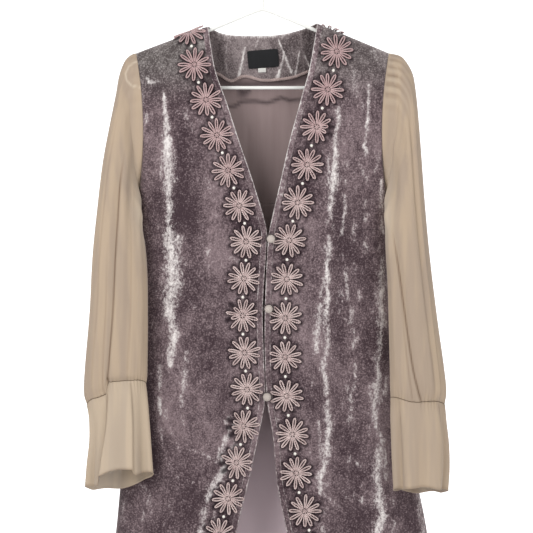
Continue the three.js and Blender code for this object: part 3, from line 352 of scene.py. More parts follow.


# %% [markdown]
# ## Where the nap shines
# Crushed velvet has its pile pressed over in all directions. Where it lies towards the light it turns almost
# white, in ragged streaks along the soft folds, and elsewhere it stays dark. Here these streaks are painted
# sheen over the pile's own pattern.
# The streaks are given one by one from the coat, as lines with a width at every place.
# Each is kept on the mesh as a number called nap, and its fold is lifted a little as real relief.

# %% Streaks of pale pile and painted sheen: strength, lift in mm, and the line's (x, z, half width)
STREAKS = {
    "left": [
        (0.97, 3, [(-148, -206, 0.7), (-147, -226, 1.8), (-144, -252, 2.8), (-143, -284, 6),
          (-142, -312, 7.8), (-140, -338, 7.2), (-142, -363, 4.5), (-139, -384, 4.5), (-142, -399, 3)]),
        (1, 2.5, [(-140, -411, 4.5), (-139, -428, 8), (-138, -444, 7.5), (-134, -460, 10.5),
          (-134, -472, 11.5), (-136, -495, 10.5), (-139, -518, 8.5), (-140, -536, 6), (-133, -567, 6),
          (-137, -596, 4.5), (-138, -615, 3)]),
        (0.7, 1, [(-134, -416, 3), (-128, -424, 4.5), (-124, -442, 3)]),
        (0.8, 0, [(-178, -180, 1.2), (-169, -191, 2.1), (-157, -190, 1.8)]),
        (0.7, 0, [(-174, -238, 1.8), (-174, -249, 1.5)]), (0.5, 0, [(-179, -206, 1.8), (-181, -232, 1.5)]),
        (0.55, 0, [(-93, -411, 1.8), (-93, -422, 1.8)]),
        (0.45, 0, [(-52, -452, 1.2), (-43, -456, 1.2), (-32, -463, 1.5)]),
        (0.35, 0, [(-118, -236, 4.5), (-104, -260, 6)]),
        (0.35, 0, [(-85, -338, 3.8), (-77, -357, 3), (-68, -366, 3)]),
        (0.35, 0, [(-83, -442, 3), (-80, -466, 4.5)]),
        (0.7, 0, [(-155, -616, 1.5), (-154, -638, 1.5), (-154, -657, 1.2)]),
        (0.85, 1, [(-154, -666, 1.8), (-154, -680, 2.1), (-153, -688, 1.5)]),
        (0.6, 1, [(-115, -596, 3), (-116, -616, 3.8), (-116, -640, 3.3), (-119, -656, 2.1)]),
        (0.7, 1, [(-121, -662, 2), (-120, -676, 2.1)]), (0.4, 0, [(-144, -686, 3), (-142, -698, 3)]),
        (0.45, 0, [(-120, -686, 2.1), (-119, -704, 1.5)]), (0.55, 1, [(-50, -692, 2.4), (-55, -700, 2.7)]),
        (0.75, 2, [(-43, -704, 1.5), (-49, -712, 2.7), (-57, -729, 3), (-61, -742, 3.9), (-64, -759, 4.2)]),
        (0.55, 1, [(-38, -734, 1.8), (-49, -742, 2.1), (-58, -752, 3)]),
        (0.5, 1, [(-111, -741, 1), (-97, -744, 1.2), (-85, -752, 1.7), (-76, -758, 2.4), (-68, -762, 2.2)]),
        (0.95, 3, [(-56, -766, 2.2), (-59, -774, 3.9), (-67, -788, 5.1), (-76, -801, 4.8),
          (-84, -819, 3.3)]),
        (0.7, 2, [(-88, -831, 3.6), (-89, -848, 3), (-91, -868, 4.5)]),
        (0.6, 0, [(-72, -834, 2.1), (-74, -848, 2.1)]),
        (0.45, 1, [(-135, -718, 1.5), (-130, -730, 1.7), (-124, -742, 1.2)]),
        (0.4, 1.5, [(-155, -704, 1), (-151, -728, 1.2), (-145, -754, 1.2), (-137, -770, 1),
          (-126, -784, 1)]),
        (0.4, 0, [(-171, -816, 4.5), (-170, -831, 3.8)]), (0.5, 0, [(-180, -836, 2.4), (-179, -848, 2.1)]),
        (0.4, 0, [(-139, -825, 3), (-137, -836, 3)]),
        (0.45, 0, [(-185, -794, 2.2), (-178, -798, 2.2), (-173, -802, 1.5)]),
        (0.35, 0, [(-202, -806, 3), (-208, -825, 3.8), (-212, -848, 3)]),
        (0.9, 3, [(-92, -860, 4), (-110, -950, 6), (-124, -1060, 5), (-140, -1180, 8), (-150, -1290, 4)]),
        (0.7, 2, [(-190, -880, 3), (-200, -980, 6), (-214, -1110, 4), (-222, -1240, 6)]),
        (0.6, 1, [(-160, -960, 2), (-164, -1040, 4), (-170, -1130, 2)]),
    ],
    "right": [
        (0.5, 0, [(137, -176, 2.4), (138, -196, 2.4)]), (0.45, 0, [(140, -206, 2.4), (142, -214, 1.8)]),
        (0.5, 0, [(150, -224, 1.7), (151, -231, 1.5)]), (0.45, 0, [(166, -142, 3), (170, -154, 3)]),
        (0.8, 1, [(159, -194, 1.4), (159, -222, 1.5), (158, -243, 1.4), (156, -266, 2), (153, -285, 1.8),
          (156, -298, 1.7)]),
        (0.95, 3, [(113, -228, 1.5), (115, -246, 2.1), (110, -264, 2), (109, -279, 2.2), (110, -296, 2.8),
          (109, -316, 4.2), (108, -334, 4.8), (105, -354, 4.8), (104, -368, 3.9), (101, -380, 3)]),
        (0.6, 1, [(99, -302, 1.2), (99, -320, 1.5), (99, -332, 3), (98, -344, 2.4)]),
        (0.8, 2, [(102, -372, 3.6), (102, -386, 3.3), (102, -394, 1.8)]),
        (0.55, 0, [(95, -403, 1.8), (100, -398, 1.2)]), (0.55, 0, [(106, -402, 1.4), (106, -411, 1.4)]),
        (0.5, 0, [(127, -309, 1.2), (127, -324, 1.4)]), (0.5, 0, [(125, -338, 1), (124, -346, 1)]),
        (0.6, 1, [(123, -358, 1.4), (124, -374, 1.5), (125, -381, 1.2)]),
        (0.85, 2, [(125, -376, 1.4), (122, -392, 1.5), (120, -406, 1.5), (119, -420, 1.2)]),
        (0.45, 0, [(145, -312, 1.8), (146, -320, 1.5)]), (0.5, 0, [(150, -322, 2.4), (151, -330, 2)]),
        (0.5, 0, [(156, -332, 1.4), (155, -342, 1.4)]), (0.5, 0, [(154, -369, 2.7), (155, -378, 2.4)]),
        (0.5, 0, [(156, -388, 2), (154, -398, 2)]), (0.45, 0, [(139, -399, 3), (140, -406, 2.1)]),
        (0.5, 0, [(137, -412, 2.1), (138, -428, 1.8)]), (0.5, 0, [(154, -435, 2.7), (157, -446, 2.2)]),
        (0.6, 0, [(173, -302, 2.2), (174, -310, 1.8)]), (0.5, 0, [(172, -316, 1.2), (169, -327, 1.5)]),
        (0.75, 0, [(178, -338, 1.8), (179, -358, 3), (179, -376, 2.7), (180, -400, 2.2), (180, -416, 1.5)]),
        (0.5, 0, [(177, -432, 1.8), (177, -442, 2.2)]),
        (0.8, 0, [(180, -453, 2), (180, -466, 3.3), (180, -478, 2.1)]),
        (0.6, 0, [(177, -484, 2), (181, -500, 2.7)]),
        (0.9, 3, [(100, -422, 1.5), (100, -429, 2.1), (99, -438, 5.4), (98, -448, 3.9), (97, -460, 2.1),
          (97, -472, 2.4), (97, -486, 3.3), (97, -504, 3), (98, -518, 3.9), (97, -528, 2.7)]),
        (0.7, 1, [(92, -492, 2.1), (90, -502, 2.1), (88, -513, 1.8)]),
        (0.75, 1, [(86, -525, 3.6), (84, -542, 4.8), (82, -560, 4.2), (81, -578, 3.6), (80, -596, 3.3)]),
        (0.8, 1, [(95, -537, 3.6), (98, -558, 3.9), (98, -578, 3.3), (96, -596, 3.3)]),
        (0.5, 1, [(89, -562, 3), (89, -582, 4.5), (91, -602, 3.6)]),
        (0.8, 1, [(94, -604, 3.6), (91, -616, 3.6), (90, -624, 3), (95, -636, 2.7), (96, -646, 3.9),
          (96, -658, 3)]),
        (0.9, 2, [(97, -668, 2.4), (97, -682, 3.6), (99, -705, 4.1), (98, -723, 3.3), (98, -741, 3.9),
          (96, -756, 4.5), (92, -768, 3.6), (86, -782, 3.3), (86, -796, 3.3), (87, -807, 2.1)]),
        (0.6, 0, [(91, -801, 1.5), (95, -794, 1.8), (102, -788, 1.8)]),
        (0.55, 0, [(84, -700, 1.8), (87, -728, 2.4), (89, -741, 2.2), (86, -758, 2.2)]),
        (0.45, 1.5, [(91, -808, 0.9), (104, -818, 0.9), (116, -828, 0.8)]),
        (0.5, 0, [(94, -830, 3), (92, -838, 3.3)]), (0.45, 0, [(86, -850, 3.6), (82, -866, 3.9)]),
        (0.7, 1, [(125, -471, 1.5), (124, -478, 1.8), (127, -496, 1.8), (128, -516, 2.2)]),
        (0.55, 0, [(133, -526, 1.8), (134, -538, 2.1), (131, -552, 1.8)]),
        (0.6, 0, [(134, -561, 1.5), (140, -568, 2.7), (139, -580, 2.7), (135, -590, 1.8)]),
        (0.55, 0, [(115, -502, 1.5), (115, -512, 1.5)]), (0.5, 0, [(120, -508, 1.5), (120, -518, 1.4)]),
        (0.5, 0, [(146, -504, 2.1), (146, -516, 2.1)]), (0.4, 0, [(112, -522, 1.8), (116, -537, 1.8)]),
        (0.6, 1, [(139, -614, 1.2), (139, -628, 1.5), (139, -642, 3), (136, -651, 2.4), (131, -662, 1.5),
          (133, -670, 1.5)]),
        (0.5, 0, [(127, -646, 1.5), (128, -656, 1.5)]),
        (0.7, 1, [(133, -680, 2.5), (132, -692, 2.7), (130, -705, 1.7)]),
        (0.5, 0, [(130, -753, 1.7), (129, -768, 1.7)]), (0.5, 0, [(137, -759, 3), (145, -766, 2.1)]),
        (0.45, 0, [(125, -808, 1.5), (126, -814, 1.5)]), (0.5, 0, [(137, -810, 2.1), (138, -816, 2.1)]),
        (0.6, 0, [(148, -814, 2.7), (149, -820, 2.4)]),
        (0.45, 0, [(148, -796, 1.5), (152, -806, 2.1), (162, -806, 1.5)]),
        (0.5, 0, [(165, -534, 1.2), (166, -548, 1.5)]), (0.6, 0, [(173, -544, 3.6), (174, -555, 3)]),
        (0.5, 0, [(184, -548, 1.8), (185, -556, 1.5)]),
        (0.6, 0, [(170, -598, 3), (170, -609, 3), (179, -596, 2.1)]),
        (0.85, 2, [(174, -609, 3.3), (173, -618, 2.7), (175, -632, 2.7), (171, -645, 6), (172, -660, 9),
          (170, -674, 4.5), (169, -686, 3.6), (170, -704, 3.6), (173, -714, 2.1), (178, -722, 2.4),
          (180, -730, 3)]),
        (0.6, 0, [(187, -634, 3), (185, -654, 2.4)]), (0.5, 0, [(159, -705, 1.5), (159, -722, 1.5)]),
        (0.9, 2, [(176, -736, 3), (174, -746, 4.5), (174, -766, 5.7), (173, -789, 5.1), (177, -804, 3.9),
          (174, -822, 6.3), (180, -844, 5.1), (170, -867, 5.4)]),
        (0.6, 0, [(182, -740, 3), (182, -750, 3), (185, -772, 3.9), (185, -784, 3.6)]),
        (0.45, 0, [(195, -816, 2.1), (196, -828, 1.8)]), (0.5, 0, [(197, -849, 2.7), (197, -862, 2.7)]),
        (0.55, 0, [(234, -808, 2.4), (236, -824, 3.3), (238, -842, 4.5), (243, -866, 4.5)]),
        (0.5, 0, [(75, -632, 1.2), (74, -648, 1.2)]),
        (0.5, 0, [(21, -688, 1.8), (22, -699, 2.2), (24, -710, 1.5)]),
        (0.8, 2, [(179, -462, 2), (180, -490, 4), (178, -520, 5), (179, -556, 4), (176, -592, 3)]),
        (0.9, 3, [(170, -880, 6), (182, -980, 5), (190, -1090, 8), (206, -1200, 5), (214, -1290, 4)]),
        (0.8, 2, [(90, -860, 3), (104, -960, 6), (112, -1080, 5), (128, -1220, 7)]),
        (0.6, 1, [(240, -860, 4), (252, -960, 5), (262, -1080, 3)]),
    ],
    "back": [
        (0.9, 3, [(-118, -215, 2), (-122, -300, 6), (-116, -380, 5), (-124, -470, 7), (-120, -560, 3)]),
        (0.8, 3, [(92, -200, 2), (98, -290, 5), (90, -380, 4), (97, -520, 6), (92, -610, 3)]),
        (0.7, 2, [(-20, -260, 2), (-26, -360, 4), (-18, -450, 3), (-22, -560, 2)]),
        (0.9, 3, [(-150, -640, 3), (-160, -760, 7), (-168, -880, 6), (-182, -1050, 8), (-190, -1220, 5)]),
        (0.8, 3, [(30, -680, 3), (24, -800, 6), (32, -940, 5), (26, -1100, 8), (30, -1250, 5)]),
        (0.9, 3, [(160, -620, 3), (172, -760, 6), (180, -900, 7), (200, -1080, 7), (214, -1240, 5)]),
        (0.6, 1, [(-70, -900, 2), (-76, -980, 5), (-72, -1080, 3)]),
        (0.6, 1, [(110, -880, 2), (118, -1000, 5), (114, -1120, 3)]),
    ],
}

# Broad lighter (+) and darker (-) places of the pile: x, z, reach in x and z, amount.
PATCHES = {
    "left": [
        (-112, -310, 22, 60, -0.16), (-108, -240, 24, 50, 0.16), (-72, -420, 24, 90, 0.2),
        (-170, -720, 12, 110, -0.34), (-100, -700, 40, 50, 0.1), (-186, -820, 30, 40, 0.16),
        (-115, -720, 50, 70, 0.1), (-112, -330, 22, 90, -0.14), (-92, -560, 24, 60, 0.06),
    ],
    "right": [
        (130, -150, 58, 38, 0.12), (76, -520, 16, 130, 0.12), (118, -440, 14, 70, -0.16),
        (150, -620, 22, 90, 0.03), (184, -740, 20, 60, 0.08), (214, -840, 22, 36, -0.08),
        (110, -360, 14, 50, -0.14), (60, -700, 20, 80, 0.04), (150, -640, 150, 330, 0.07),
    ],
    "back": [(0, -200, 120, 60, 0.15), (-60, -500, 40, 160, -0.1), (70, -800, 40, 160, -0.1)],
}

# Narrow hollows beside the folds: depth in mm, and the line's (x, z, half width).
HOLLOWS = {
    "left": [(1.6, [(-152, -706, 5), (-142, -760, 4), (-124, -786, 5), (-96, -830, 8)]),
             (1.2, [(-128, -330, 6), (-128, -420, 8), (-122, -500, 7)])],
    "right": [(1.8, [(117, -420, 3), (116, -484, 4), (112, -520, 3)]),
              (1.6, [(105, -545, 3), (103, -620, 4), (106, -700, 3)])],
    "back": [(1.5, [(-100, -300, 8), (-96, -480, 9)]), (1.5, [(60, -660, 8), (56, -900, 10)])],
}
# The pale pile and its painted sheen spread to this many times a streak's half width and some mm more, and
# its fold further.
NAP_SHEEN_SPREAD, FOLD_SPREAD = (1.35, 1.2), (2.4, 3)


def widened(line, times, more):
    """A line of (x, z, half width) with wider widths."""
    return [(x, z, times * wide + more) for x, z, wide in line]


def nap_sheen_at(panel, x, z):
    """The strongest streak at each point. Down the back, the lines also sway and thin out in places."""
    fade = 1
    if panel == "back":
        x = x + 5 * np.sin(z / 41) + 3 * np.sin(z / 15 + x / 30)
        fade = 0.72 + 0.3 * np.sin(z / 27 + x / 18)
    best = np.zeros(np.broadcast(x, z).shape)
    for strength, _, line in STREAKS[panel]:
        best = np.maximum(best, strength * fade * near_line(x, z, widened(line, *NAP_SHEEN_SPREAD)))
    return best


def tone_at(panel, x, z):
    """The patches as bell shapes, added together."""
    total = np.zeros(np.broadcast(x, z).shape)
    for px, pz, wide, high, amount in PATCHES[panel]:
        total = total + amount * bell(x - px, wide) * bell(z - pz, high)
    return total


def relief_at(panel, x, z):
    """How far the folds under the streaks stand out, less the hollows beside them."""
    height = np.zeros(np.broadcast(x, z).shape)
    for _, lift, line in STREAKS[panel]:
        if lift:
            height = np.maximum(height, lift * near_line(x, z, widened(line, *FOLD_SPREAD)))
    for deep, line in HOLLOWS[panel]:
        height = height - deep * near_line(x, z, line)
    return height


print({panel: len(rows) for panel, rows in STREAKS.items()}, "streaks")

# %% [markdown]
# ## Materials
# A material here is a small network that reads the place on the cloth and the numbers kept on it.
# The crushed pile and the weave are used by several pieces, so they are node groups with named sockets.

# %% Node helpers
# A Mix node has sockets for every kind of data. These are the ones for colours.
MIX_SHARE, MIX_FROM, MIX_TO, MIX_RESULT = 0, 6, 7, 2


def feed(tree, socket, value):
    """A socket as the value is linked, and anything else is set."""
    if isinstance(value, bpy.types.NodeSocket):
        tree.links.new(value, socket)
    else:
        socket.default_value = value


def fill(tree, made, inputs):
    """Feeds a node by name. A name with an underscore is a socket's name with a space, and a name in
    small letters is a setting of the node."""
    for name, value in inputs.items():
        if name[0].islower():
            setattr(made, name, value)
        else:
            feed(tree, made.inputs[name.replace("_", " ")], value)
    return made


def node(tree, kind, **inputs):
    """A new node with its settings and inputs. A group is placed as kind Group, with its node_tree."""
    return fill(tree, tree.nodes.new("ShaderNode" + kind), inputs)


def arithmetic(tree, operation, a, b=0.0):
    """One Math node, clear of its socket numbers."""
    made = node(tree, "Math", operation=operation)
    feed(tree, made.inputs[0], a)
    feed(tree, made.inputs[1], b)
    return made.outputs[0]


def weighted(tree, start, *terms):
    """start, plus each value times its weight."""
    for value, weight in terms:
        start = arithmetic(tree, "ADD", start, arithmetic(tree, "MULTIPLY", value, weight))
    return start


def blended(tree, share, a, b):
    """A colour between a and b."""
    made = node(tree, "Mix", data_type="RGBA")
    for number, value in ((MIX_SHARE, share), (MIX_FROM, a), (MIX_TO, b)):
        feed(tree, made.inputs[number], value)
    return made.outputs[MIX_RESULT]


def step_up(tree, value, low, high):
    """0 below low, 1 above high and a soft rise between them."""
    made = node(tree, "MapRange", interpolation_type="SMOOTHSTEP", Value=value, From_Min=low, From_Max=high)
    return made.outputs["Result"]


def object_place(tree, down=1.0):
    """Where a point lies on the object. Patterns are drawn out downwards where down is below 1."""
    place = node(tree, "TexCoord").outputs["Object"]
    if down == 1.0:
        return place
    return node(tree, "Mapping", Vector=place, Scale=(1.0, 1.0, down)).outputs["Vector"]


def height_on(tree):
    """How high a point lies on the object, in metres."""
    return node(tree, "SeparateXYZ", Vector=object_place(tree)).outputs["Z"]


def noise(tree, place, scale, detail=2.0, roughness=0.5, distortion=0.0):
    """Soft noise around 0.5, finer with a higher scale."""
    made = node(tree, "TexNoise", Vector=place, Scale=scale, Detail=detail, Roughness=roughness,
                Distortion=distortion)
    return made.outputs["Fac"]


def bands(tree, place, direction, scale, distortion, detail=2.0):
    """Even stripes, as a sine wave across one direction."""
    made = node(tree, "TexWave", wave_type="BANDS", bands_direction=direction, Vector=place, Scale=scale,
                Distortion=distortion, Detail=detail)
    return made.outputs["Fac"]


def kept_number(tree, name):
    """A number that was kept on the mesh's points."""
    return node(tree, "Attribute", attribute_name=name).outputs["Fac"]


def paint(red, green, blue):
    """A colour given as on a screen, 0 to 255, in the linear numbers that shaders use."""
    screen = np.array([red, green, blue]) / 255
    linear = np.where(screen <= 0.04045, screen / 12.92, ((screen + 0.055) / 1.055) ** 2.4)
    return (*(float(x) for x in linear), 1.0)


def new_group(name, inputs, outputs):
    """An empty node group with its sockets, and its two end nodes."""
    group = bpy.data.node_groups.new(name, "ShaderNodeTree")
    for label, default in inputs.items():
        socket = group.interface.new_socket(label, in_out="INPUT", socket_type="NodeSocketFloat")
        socket.default_value = default
    for label in outputs:
        group.interface.new_socket(label, in_out="OUTPUT", socket_type="NodeSocketFloat")
    return group, group.nodes.new("NodeGroupInput"), group.nodes.new("NodeGroupOutput")


def new_material(name, **values):
    """A material with its tree and its Principled shader, whose even values are set on its sockets."""
    material = bpy.data.materials.new(name)
    material.use_nodes = True
    tree = material.node_tree
    return material, tree, fill(tree, tree.nodes["Principled BSDF"], values)


def coat(tree, shader, colour, height=None, depth=0.0, strength=1.0):
    """Gives the shader its colour and, where there is a height, its Bump of this depth in metres."""
    feed(tree, shader.inputs["Base Color"], colour)
    if height is not None:
        bump = node(tree, "Bump", Height=height, Distance=depth, Strength=strength)
        feed(tree, shader.inputs["Normal"], bump.outputs["Normal"])


# %% [markdown]
# ### Crushed pile
# Five sizes of noise: speckle of one and a half millimetres, and, drawn out a little downwards, grain of
# three, blots of fifteen, veins, and clouds of seventy. Nap sheen plus grain, cut off softly, gives the
# ragged pale streaks of painted sheen. A thin vein is where its noise crosses the middle value, shown only
# inside some clouds.

# %% Crushed pile group
SPECK_SCALE, GRAIN_SCALE, BLOT_SCALE, CLOUD_SCALE, VEIN_SCALE = 430.0, 300.0, 80.0, 19.0, 52.0
DRAWN_OUT, VEIN_SHARPNESS, PLAIN_PILE = 0.62, 14.0, 0.29
BRIGHT_FROM, BRIGHT_TO = 0.28, 1.4


def build_crushed_pile():
    group, given, out = new_group(
        "crushed_pile", {"Nap": 0.0, "Tone": 0.0, "Grain Size": 1.0}, ["Bright", "Pile", "Height"]
    )
    nap, tone, grain = (given.outputs[name] for name in ("Nap", "Tone", "Grain Size"))
    place, drawn = object_place(group), object_place(group, DRAWN_OUT)
    noises = (
        noise(group, place, SPECK_SCALE, 3.0, 0.62),
        noise(group, drawn, arithmetic(group, "MULTIPLY", grain, GRAIN_SCALE), 3.0, 0.6, 0.3),
        noise(group, drawn, BLOT_SCALE, 4.0, 0.6, 0.5),
        noise(group, drawn, CLOUD_SCALE),
        noise(group, drawn, VEIN_SCALE, 2.5, 0.5, 0.9),
    )
    speck, fine, blot, cloud, vein = (arithmetic(group, "SUBTRACT", one, 0.5) for one in noises)
    worn = arithmetic(group, "MAXIMUM", speck, 0.0)
    thread = weighted(group, 1.0, (arithmetic(group, "ABSOLUTE", vein), -VEIN_SHARPNESS))
    in_cloud = step_up(group, weighted(group, cloud, (tone, 0.15)), 0.0, 0.14)
    thread = arithmetic(group, "MULTIPLY", arithmetic(group, "MAXIMUM", thread, 0.0), in_cloud)
    shine = weighted(group, 0.0, (nap, 0.9), (fine, 1.7), (speck, 1.1), (blot, 1.3), (thread, 0.2))
    pile = weighted(
        group, PLAIN_PILE, (tone, 1.0), (speck, 0.9), (worn, 1.9), (fine, 0.55), (blot, 0.8), (cloud, 1.0),
        (thread, 0.16), (nap, 0.35),
    )
    fill(group, out, {
        "Bright": step_up(group, shine, BRIGHT_FROM, BRIGHT_TO),
        "Pile": step_up(group, pile, 0.0, 1.0),
        "Height": weighted(group, blot, (fine, 0.5)),
    })
    return group


CRUSHED_PILE = build_crushed_pile()

# %% Weave group
WARP_SCALE, WEFT_SCALE, SLUB_SCALE, SLUB_DRAWN_OUT = 260.0, 300.0, 90.0, 0.08


def build_weave():
    """Warp and weft as two sine waves of the place across and down, plus a little unevenness."""
    group, given, out = new_group("fine_weave", {"Threads": 1.0}, ["Thread", "Uneven"])
    place = object_place(group)
    warp = bands(group, place, "X", arithmetic(group, "MULTIPLY", given.outputs["Threads"], WARP_SCALE), 1.5)
    weft = bands(group, place, "Z", WEFT_SCALE, 1.5)
    slub = noise(group, object_place(group, SLUB_DRAWN_OUT), SLUB_SCALE, 3.0, 0.55)
    fill(group, out, {"Thread": arithmetic(group, "MULTIPLY", warp, weft), "Uneven": slub})
    return group


FINE_WEAVE = build_weave()

# %% [markdown]
# ### Velvet, its matte inside, and the pale edges
# Dark and middle plum grey mix by the pile, and the pale nap with its painted sheen goes over both. Layer
# Weight paints the cloth paler where it turns away, a painted sheen as real pile shows. The inside has no
# pile and is a plain brown grey, with painted shadows and light.

# %% Velvet materials
VELVET_DARK, VELVET_MIDDLE, VELVET_SHEEN_PALE = paint(62, 48, 53), paint(140, 122, 125), paint(228, 222, 219)
VELVET_SHADOW, VELVET_GRAZING_SHEEN = paint(32, 21, 27), paint(150, 138, 138)
WORN_DARK, WORN_MIDDLE = paint(76, 69, 68), paint(156, 150, 147)


def build_velvet(name, grain=1.0):
    """Velvet with its own size of grain. Worn pile turns grey, as on the shoulders, and round the trim it
    takes a painted shadow, darkest where the braid also presses the pile down."""
    material, tree, shader = new_material(
        name, Roughness=0.85, Sheen_Weight=0.25, Sheen_Roughness=0.45, Specular_IOR_Level=0.15,
        Sheen_Tint=paint(205, 195, 195),
    )
    pile = node(tree, "Group", node_tree=CRUSHED_PILE, Nap=kept_number(tree, "nap"),
                Tone=kept_number(tree, "tone"), Grain_Size=grain).outputs
    # Painted sheen: paler where the cloth turns away from the view.
    grazing_sheen = arithmetic(tree, "MULTIPLY", node(tree, "LayerWeight", Blend=0.25).outputs["Facing"], 0.35)
    grey = blended(tree, pile["Pile"], WORN_DARK, WORN_MIDDLE)
    colour = blended(tree, pile["Pile"], VELVET_DARK, VELVET_MIDDLE)
    colour = blended(tree, kept_number(tree, "worn"), colour, grey)
    colour = blended(tree, grazing_sheen, colour, VELVET_GRAZING_SHEEN)
    # The pale nap with its painted sheen goes over everything.
    colour = blended(tree, pile["Bright"], colour, VELVET_SHEEN_PALE)
    # Painted shadow round the braid's petals.
    trim_shadow = arithmetic(tree, "MULTIPLY", kept_number(tree, "trim_shadow"), 0.92)
    coat(tree, shader, blended(tree, trim_shadow, colour, VELVET_SHADOW), pile["Height"], 0.0011, 0.5)
    return material


def build_inside():
    """The plain reverse of the velvet, with painted shadows of the hanger bar and the facing. It is pinker
    low down, and painted lighter there."""
    material, tree, shader = new_material(
        "velvet_inside", Roughness=0.9, Sheen_Weight=0.1, Specular_IOR_Level=0.1
    )
    weave = node(tree, "Group", node_tree=FINE_WEAVE, Threads=2.0).outputs
    colour = blended(tree, weave["Uneven"], paint(149, 130, 129), paint(173, 154, 152))
    # Painted light low down, over a pinker colour there.
    painted_light_low = arithmetic(tree, "SUBTRACT", 1.0, step_up(tree, height_on(tree), -0.78, -0.56))
    colour = blended(tree, painted_light_low, colour, paint(216, 199, 204))
    # Painted shadows of the hanger bar and the facing.
    colour = blended(tree, kept_number(tree, "painted_shadow"), colour, paint(62, 52, 56))
    coat(tree, shader, colour, weave["Thread"], 0.0002, 0.4)
    return material


VELVET_CLOTH = build_velvet("velvet_pile")
VELVET_EDGE = build_velvet("velvet_edge", grain=1.2)
VELVET_INSIDE = build_inside()


# %% [markdown]
# ### Chiffon, braid, pearl, buttons and the small things
# Chiffon is thin enough to see the hanger through, so its Alpha is below 1.
# The braid is a cord of satin thread: a wave along the cord gives it its twist.

# %% Chiffon
def build_chiffon():
    material, tree, shader = new_material(
        "sheer_chiffon", Roughness=0.75, Sheen_Weight=0.3, Sheen_Roughness=0.4, Specular_IOR_Level=0.2,
        Alpha=0.84,
    )
    weave = node(tree, "Group", node_tree=FINE_WEAVE, Threads=3.0).outputs
    stripe = noise(tree, object_place(tree, 0.06), 60.0)
    colour = blended(tree, step_up(tree, stripe, 0.36, 0.64), paint(178, 159, 141), paint(191, 170, 147))
    colour = blended(tree, kept_number(tree, "shade"), colour, paint(112, 88, 66))
    colour = blended(tree, kept_number(tree, "lit"), colour, paint(236, 222, 200))
    coat(tree, shader, colour, weave["Uneven"], 0.0012, 0.35)
    return material


CHIFFON_CLOTH = build_chiffon()


# %% Braid, pearl, satin and thread
def build_braid(name, low, high, rosy):
    """Satin cord: its colour swings between two pinks with a fine slanting twist. Up at the shoulders
    the cord is rosier."""
    material, tree, shader = new_material(
        name, Roughness=0.5, Sheen_Weight=0.35, Sheen_Roughness=0.35, Specular_IOR_Level=0.35
    )
    place = object_place(tree)
    twist = bands(tree, place, "DIAGONAL", 330.0, 3.0, 1.0)
    swing = step_up(tree, arithmetic(tree, "ADD", twist, noise(tree, place, 90.0)), 0.6, 1.4)
    kept = arithmetic(tree, "MULTIPLY", step_up(tree, height_on(tree), -0.46, -0.16), 0.5)
    colour = blended(tree, kept, blended(tree, swing, low, high), rosy)
    coat(tree, shader, colour, twist, 0.0004, 0.6)
    return material


def build_pearl():
    material, tree, shader = new_material("pearl_bead", Roughness=0.22, Coat_Weight=0.6, Coat_Roughness=0.1)
    cloud = noise(tree, object_place(tree), 400.0)
    coat(tree, shader, blended(tree, cloud, paint(226, 220, 210), paint(250, 247, 240)))
    return material


def build_covered():
    """The satin of the covered buttons, with painted shade in the pleats and on the undersides."""
    material, tree, shader = new_material(
        "button_satin", Roughness=0.42, Sheen_Weight=0.3, Specular_IOR_Level=0.45
    )
    weave = node(tree, "Group", node_tree=FINE_WEAVE, Threads=5.0).outputs
    colour = blended(tree, weave["Uneven"], paint(160, 149, 142), paint(206, 195, 186))
    # Painted shade in the pleats and on the underside.
    colour = blended(tree, kept_number(tree, "pleat"), colour, paint(120, 108, 96))
    coat(tree, shader, colour, weave["Thread"], 0.0002, 0.5)
    return material


def build_woven(name, low, high, threads, roughness):
    """A plain woven or twisted thread material."""
    material, tree, shader = new_material(
        name, Roughness=roughness, Sheen_Weight=0.2, Specular_IOR_Level=0.25
    )
    weave = node(tree, "Group", node_tree=FINE_WEAVE, Threads=threads).outputs
    share = arithmetic(tree, "MULTIPLY", arithmetic(tree, "ADD", weave["Thread"], weave["Uneven"]), 0.5)
    coat(tree, shader, blended(tree, share, low, high), weave["Thread"], 0.00025, 0.5)
    return material


def build_plastic():
    """White moulded plastic with a trace of dulling."""
    material, tree, shader = new_material("hanger_plastic", Specular_IOR_Level=0.5)
    dull = noise(tree, object_place(tree), 30.0, 3.0)
    coat(tree, shader, blended(tree, dull, paint(236, 236, 230), paint(250, 250, 247)))
    rough = node(tree, "MapRange", Value=dull, To_Min=0.28, To_Max=0.45).outputs["Result"]
    feed(tree, shader.inputs["Roughness"], rough)
    return material


BRAID_RIM = build_braid("braid_rim", paint(136, 106, 106), paint(238, 218, 213), paint(178, 138, 141))
# The core cord is painted shade: it darkens the slit between the two sides of each petal.
BRAID_SLIT_SHADE = build_braid("braid_slit_shade", paint(42, 27, 32), paint(82, 58, 62), paint(60, 38, 44))
PEARL = build_pearl()
BUTTON_SATIN = build_covered()
LOOP_CORD = build_woven("loop_cord", paint(66, 56, 58), paint(112, 98, 98), 6.0, 0.7)
LABEL_CLOTH = build_woven("label_weave", paint(8, 8, 10), paint(34, 34, 38), 5.0, 0.55)
TAB_CLOTH = build_woven("tab_weave", paint(206, 204, 198), paint(246, 244, 240), 5.0, 0.7)
PALE_THREAD = build_woven("overlock_thread", paint(142, 121, 120), paint(222, 202, 195), 4.0, 0.8)
DARK_THREAD = build_woven("seam_thread", paint(96, 80, 62), paint(140, 122, 98), 6.0, 0.8)
HANGER_PLASTIC = build_plastic()
print(len(bpy.data.materials), "materials")

# %% [markdown]
# ## The velvet body
# On the real coat these are three cut pieces: two fronts and a back, sewn at shoulders and sides.
# Each is a grid: across from the front edge to the armhole or side seam, and down from shoulder to hem.
# The folds are moved straight out of the cloth, and fade before a seam so that the panels still meet.

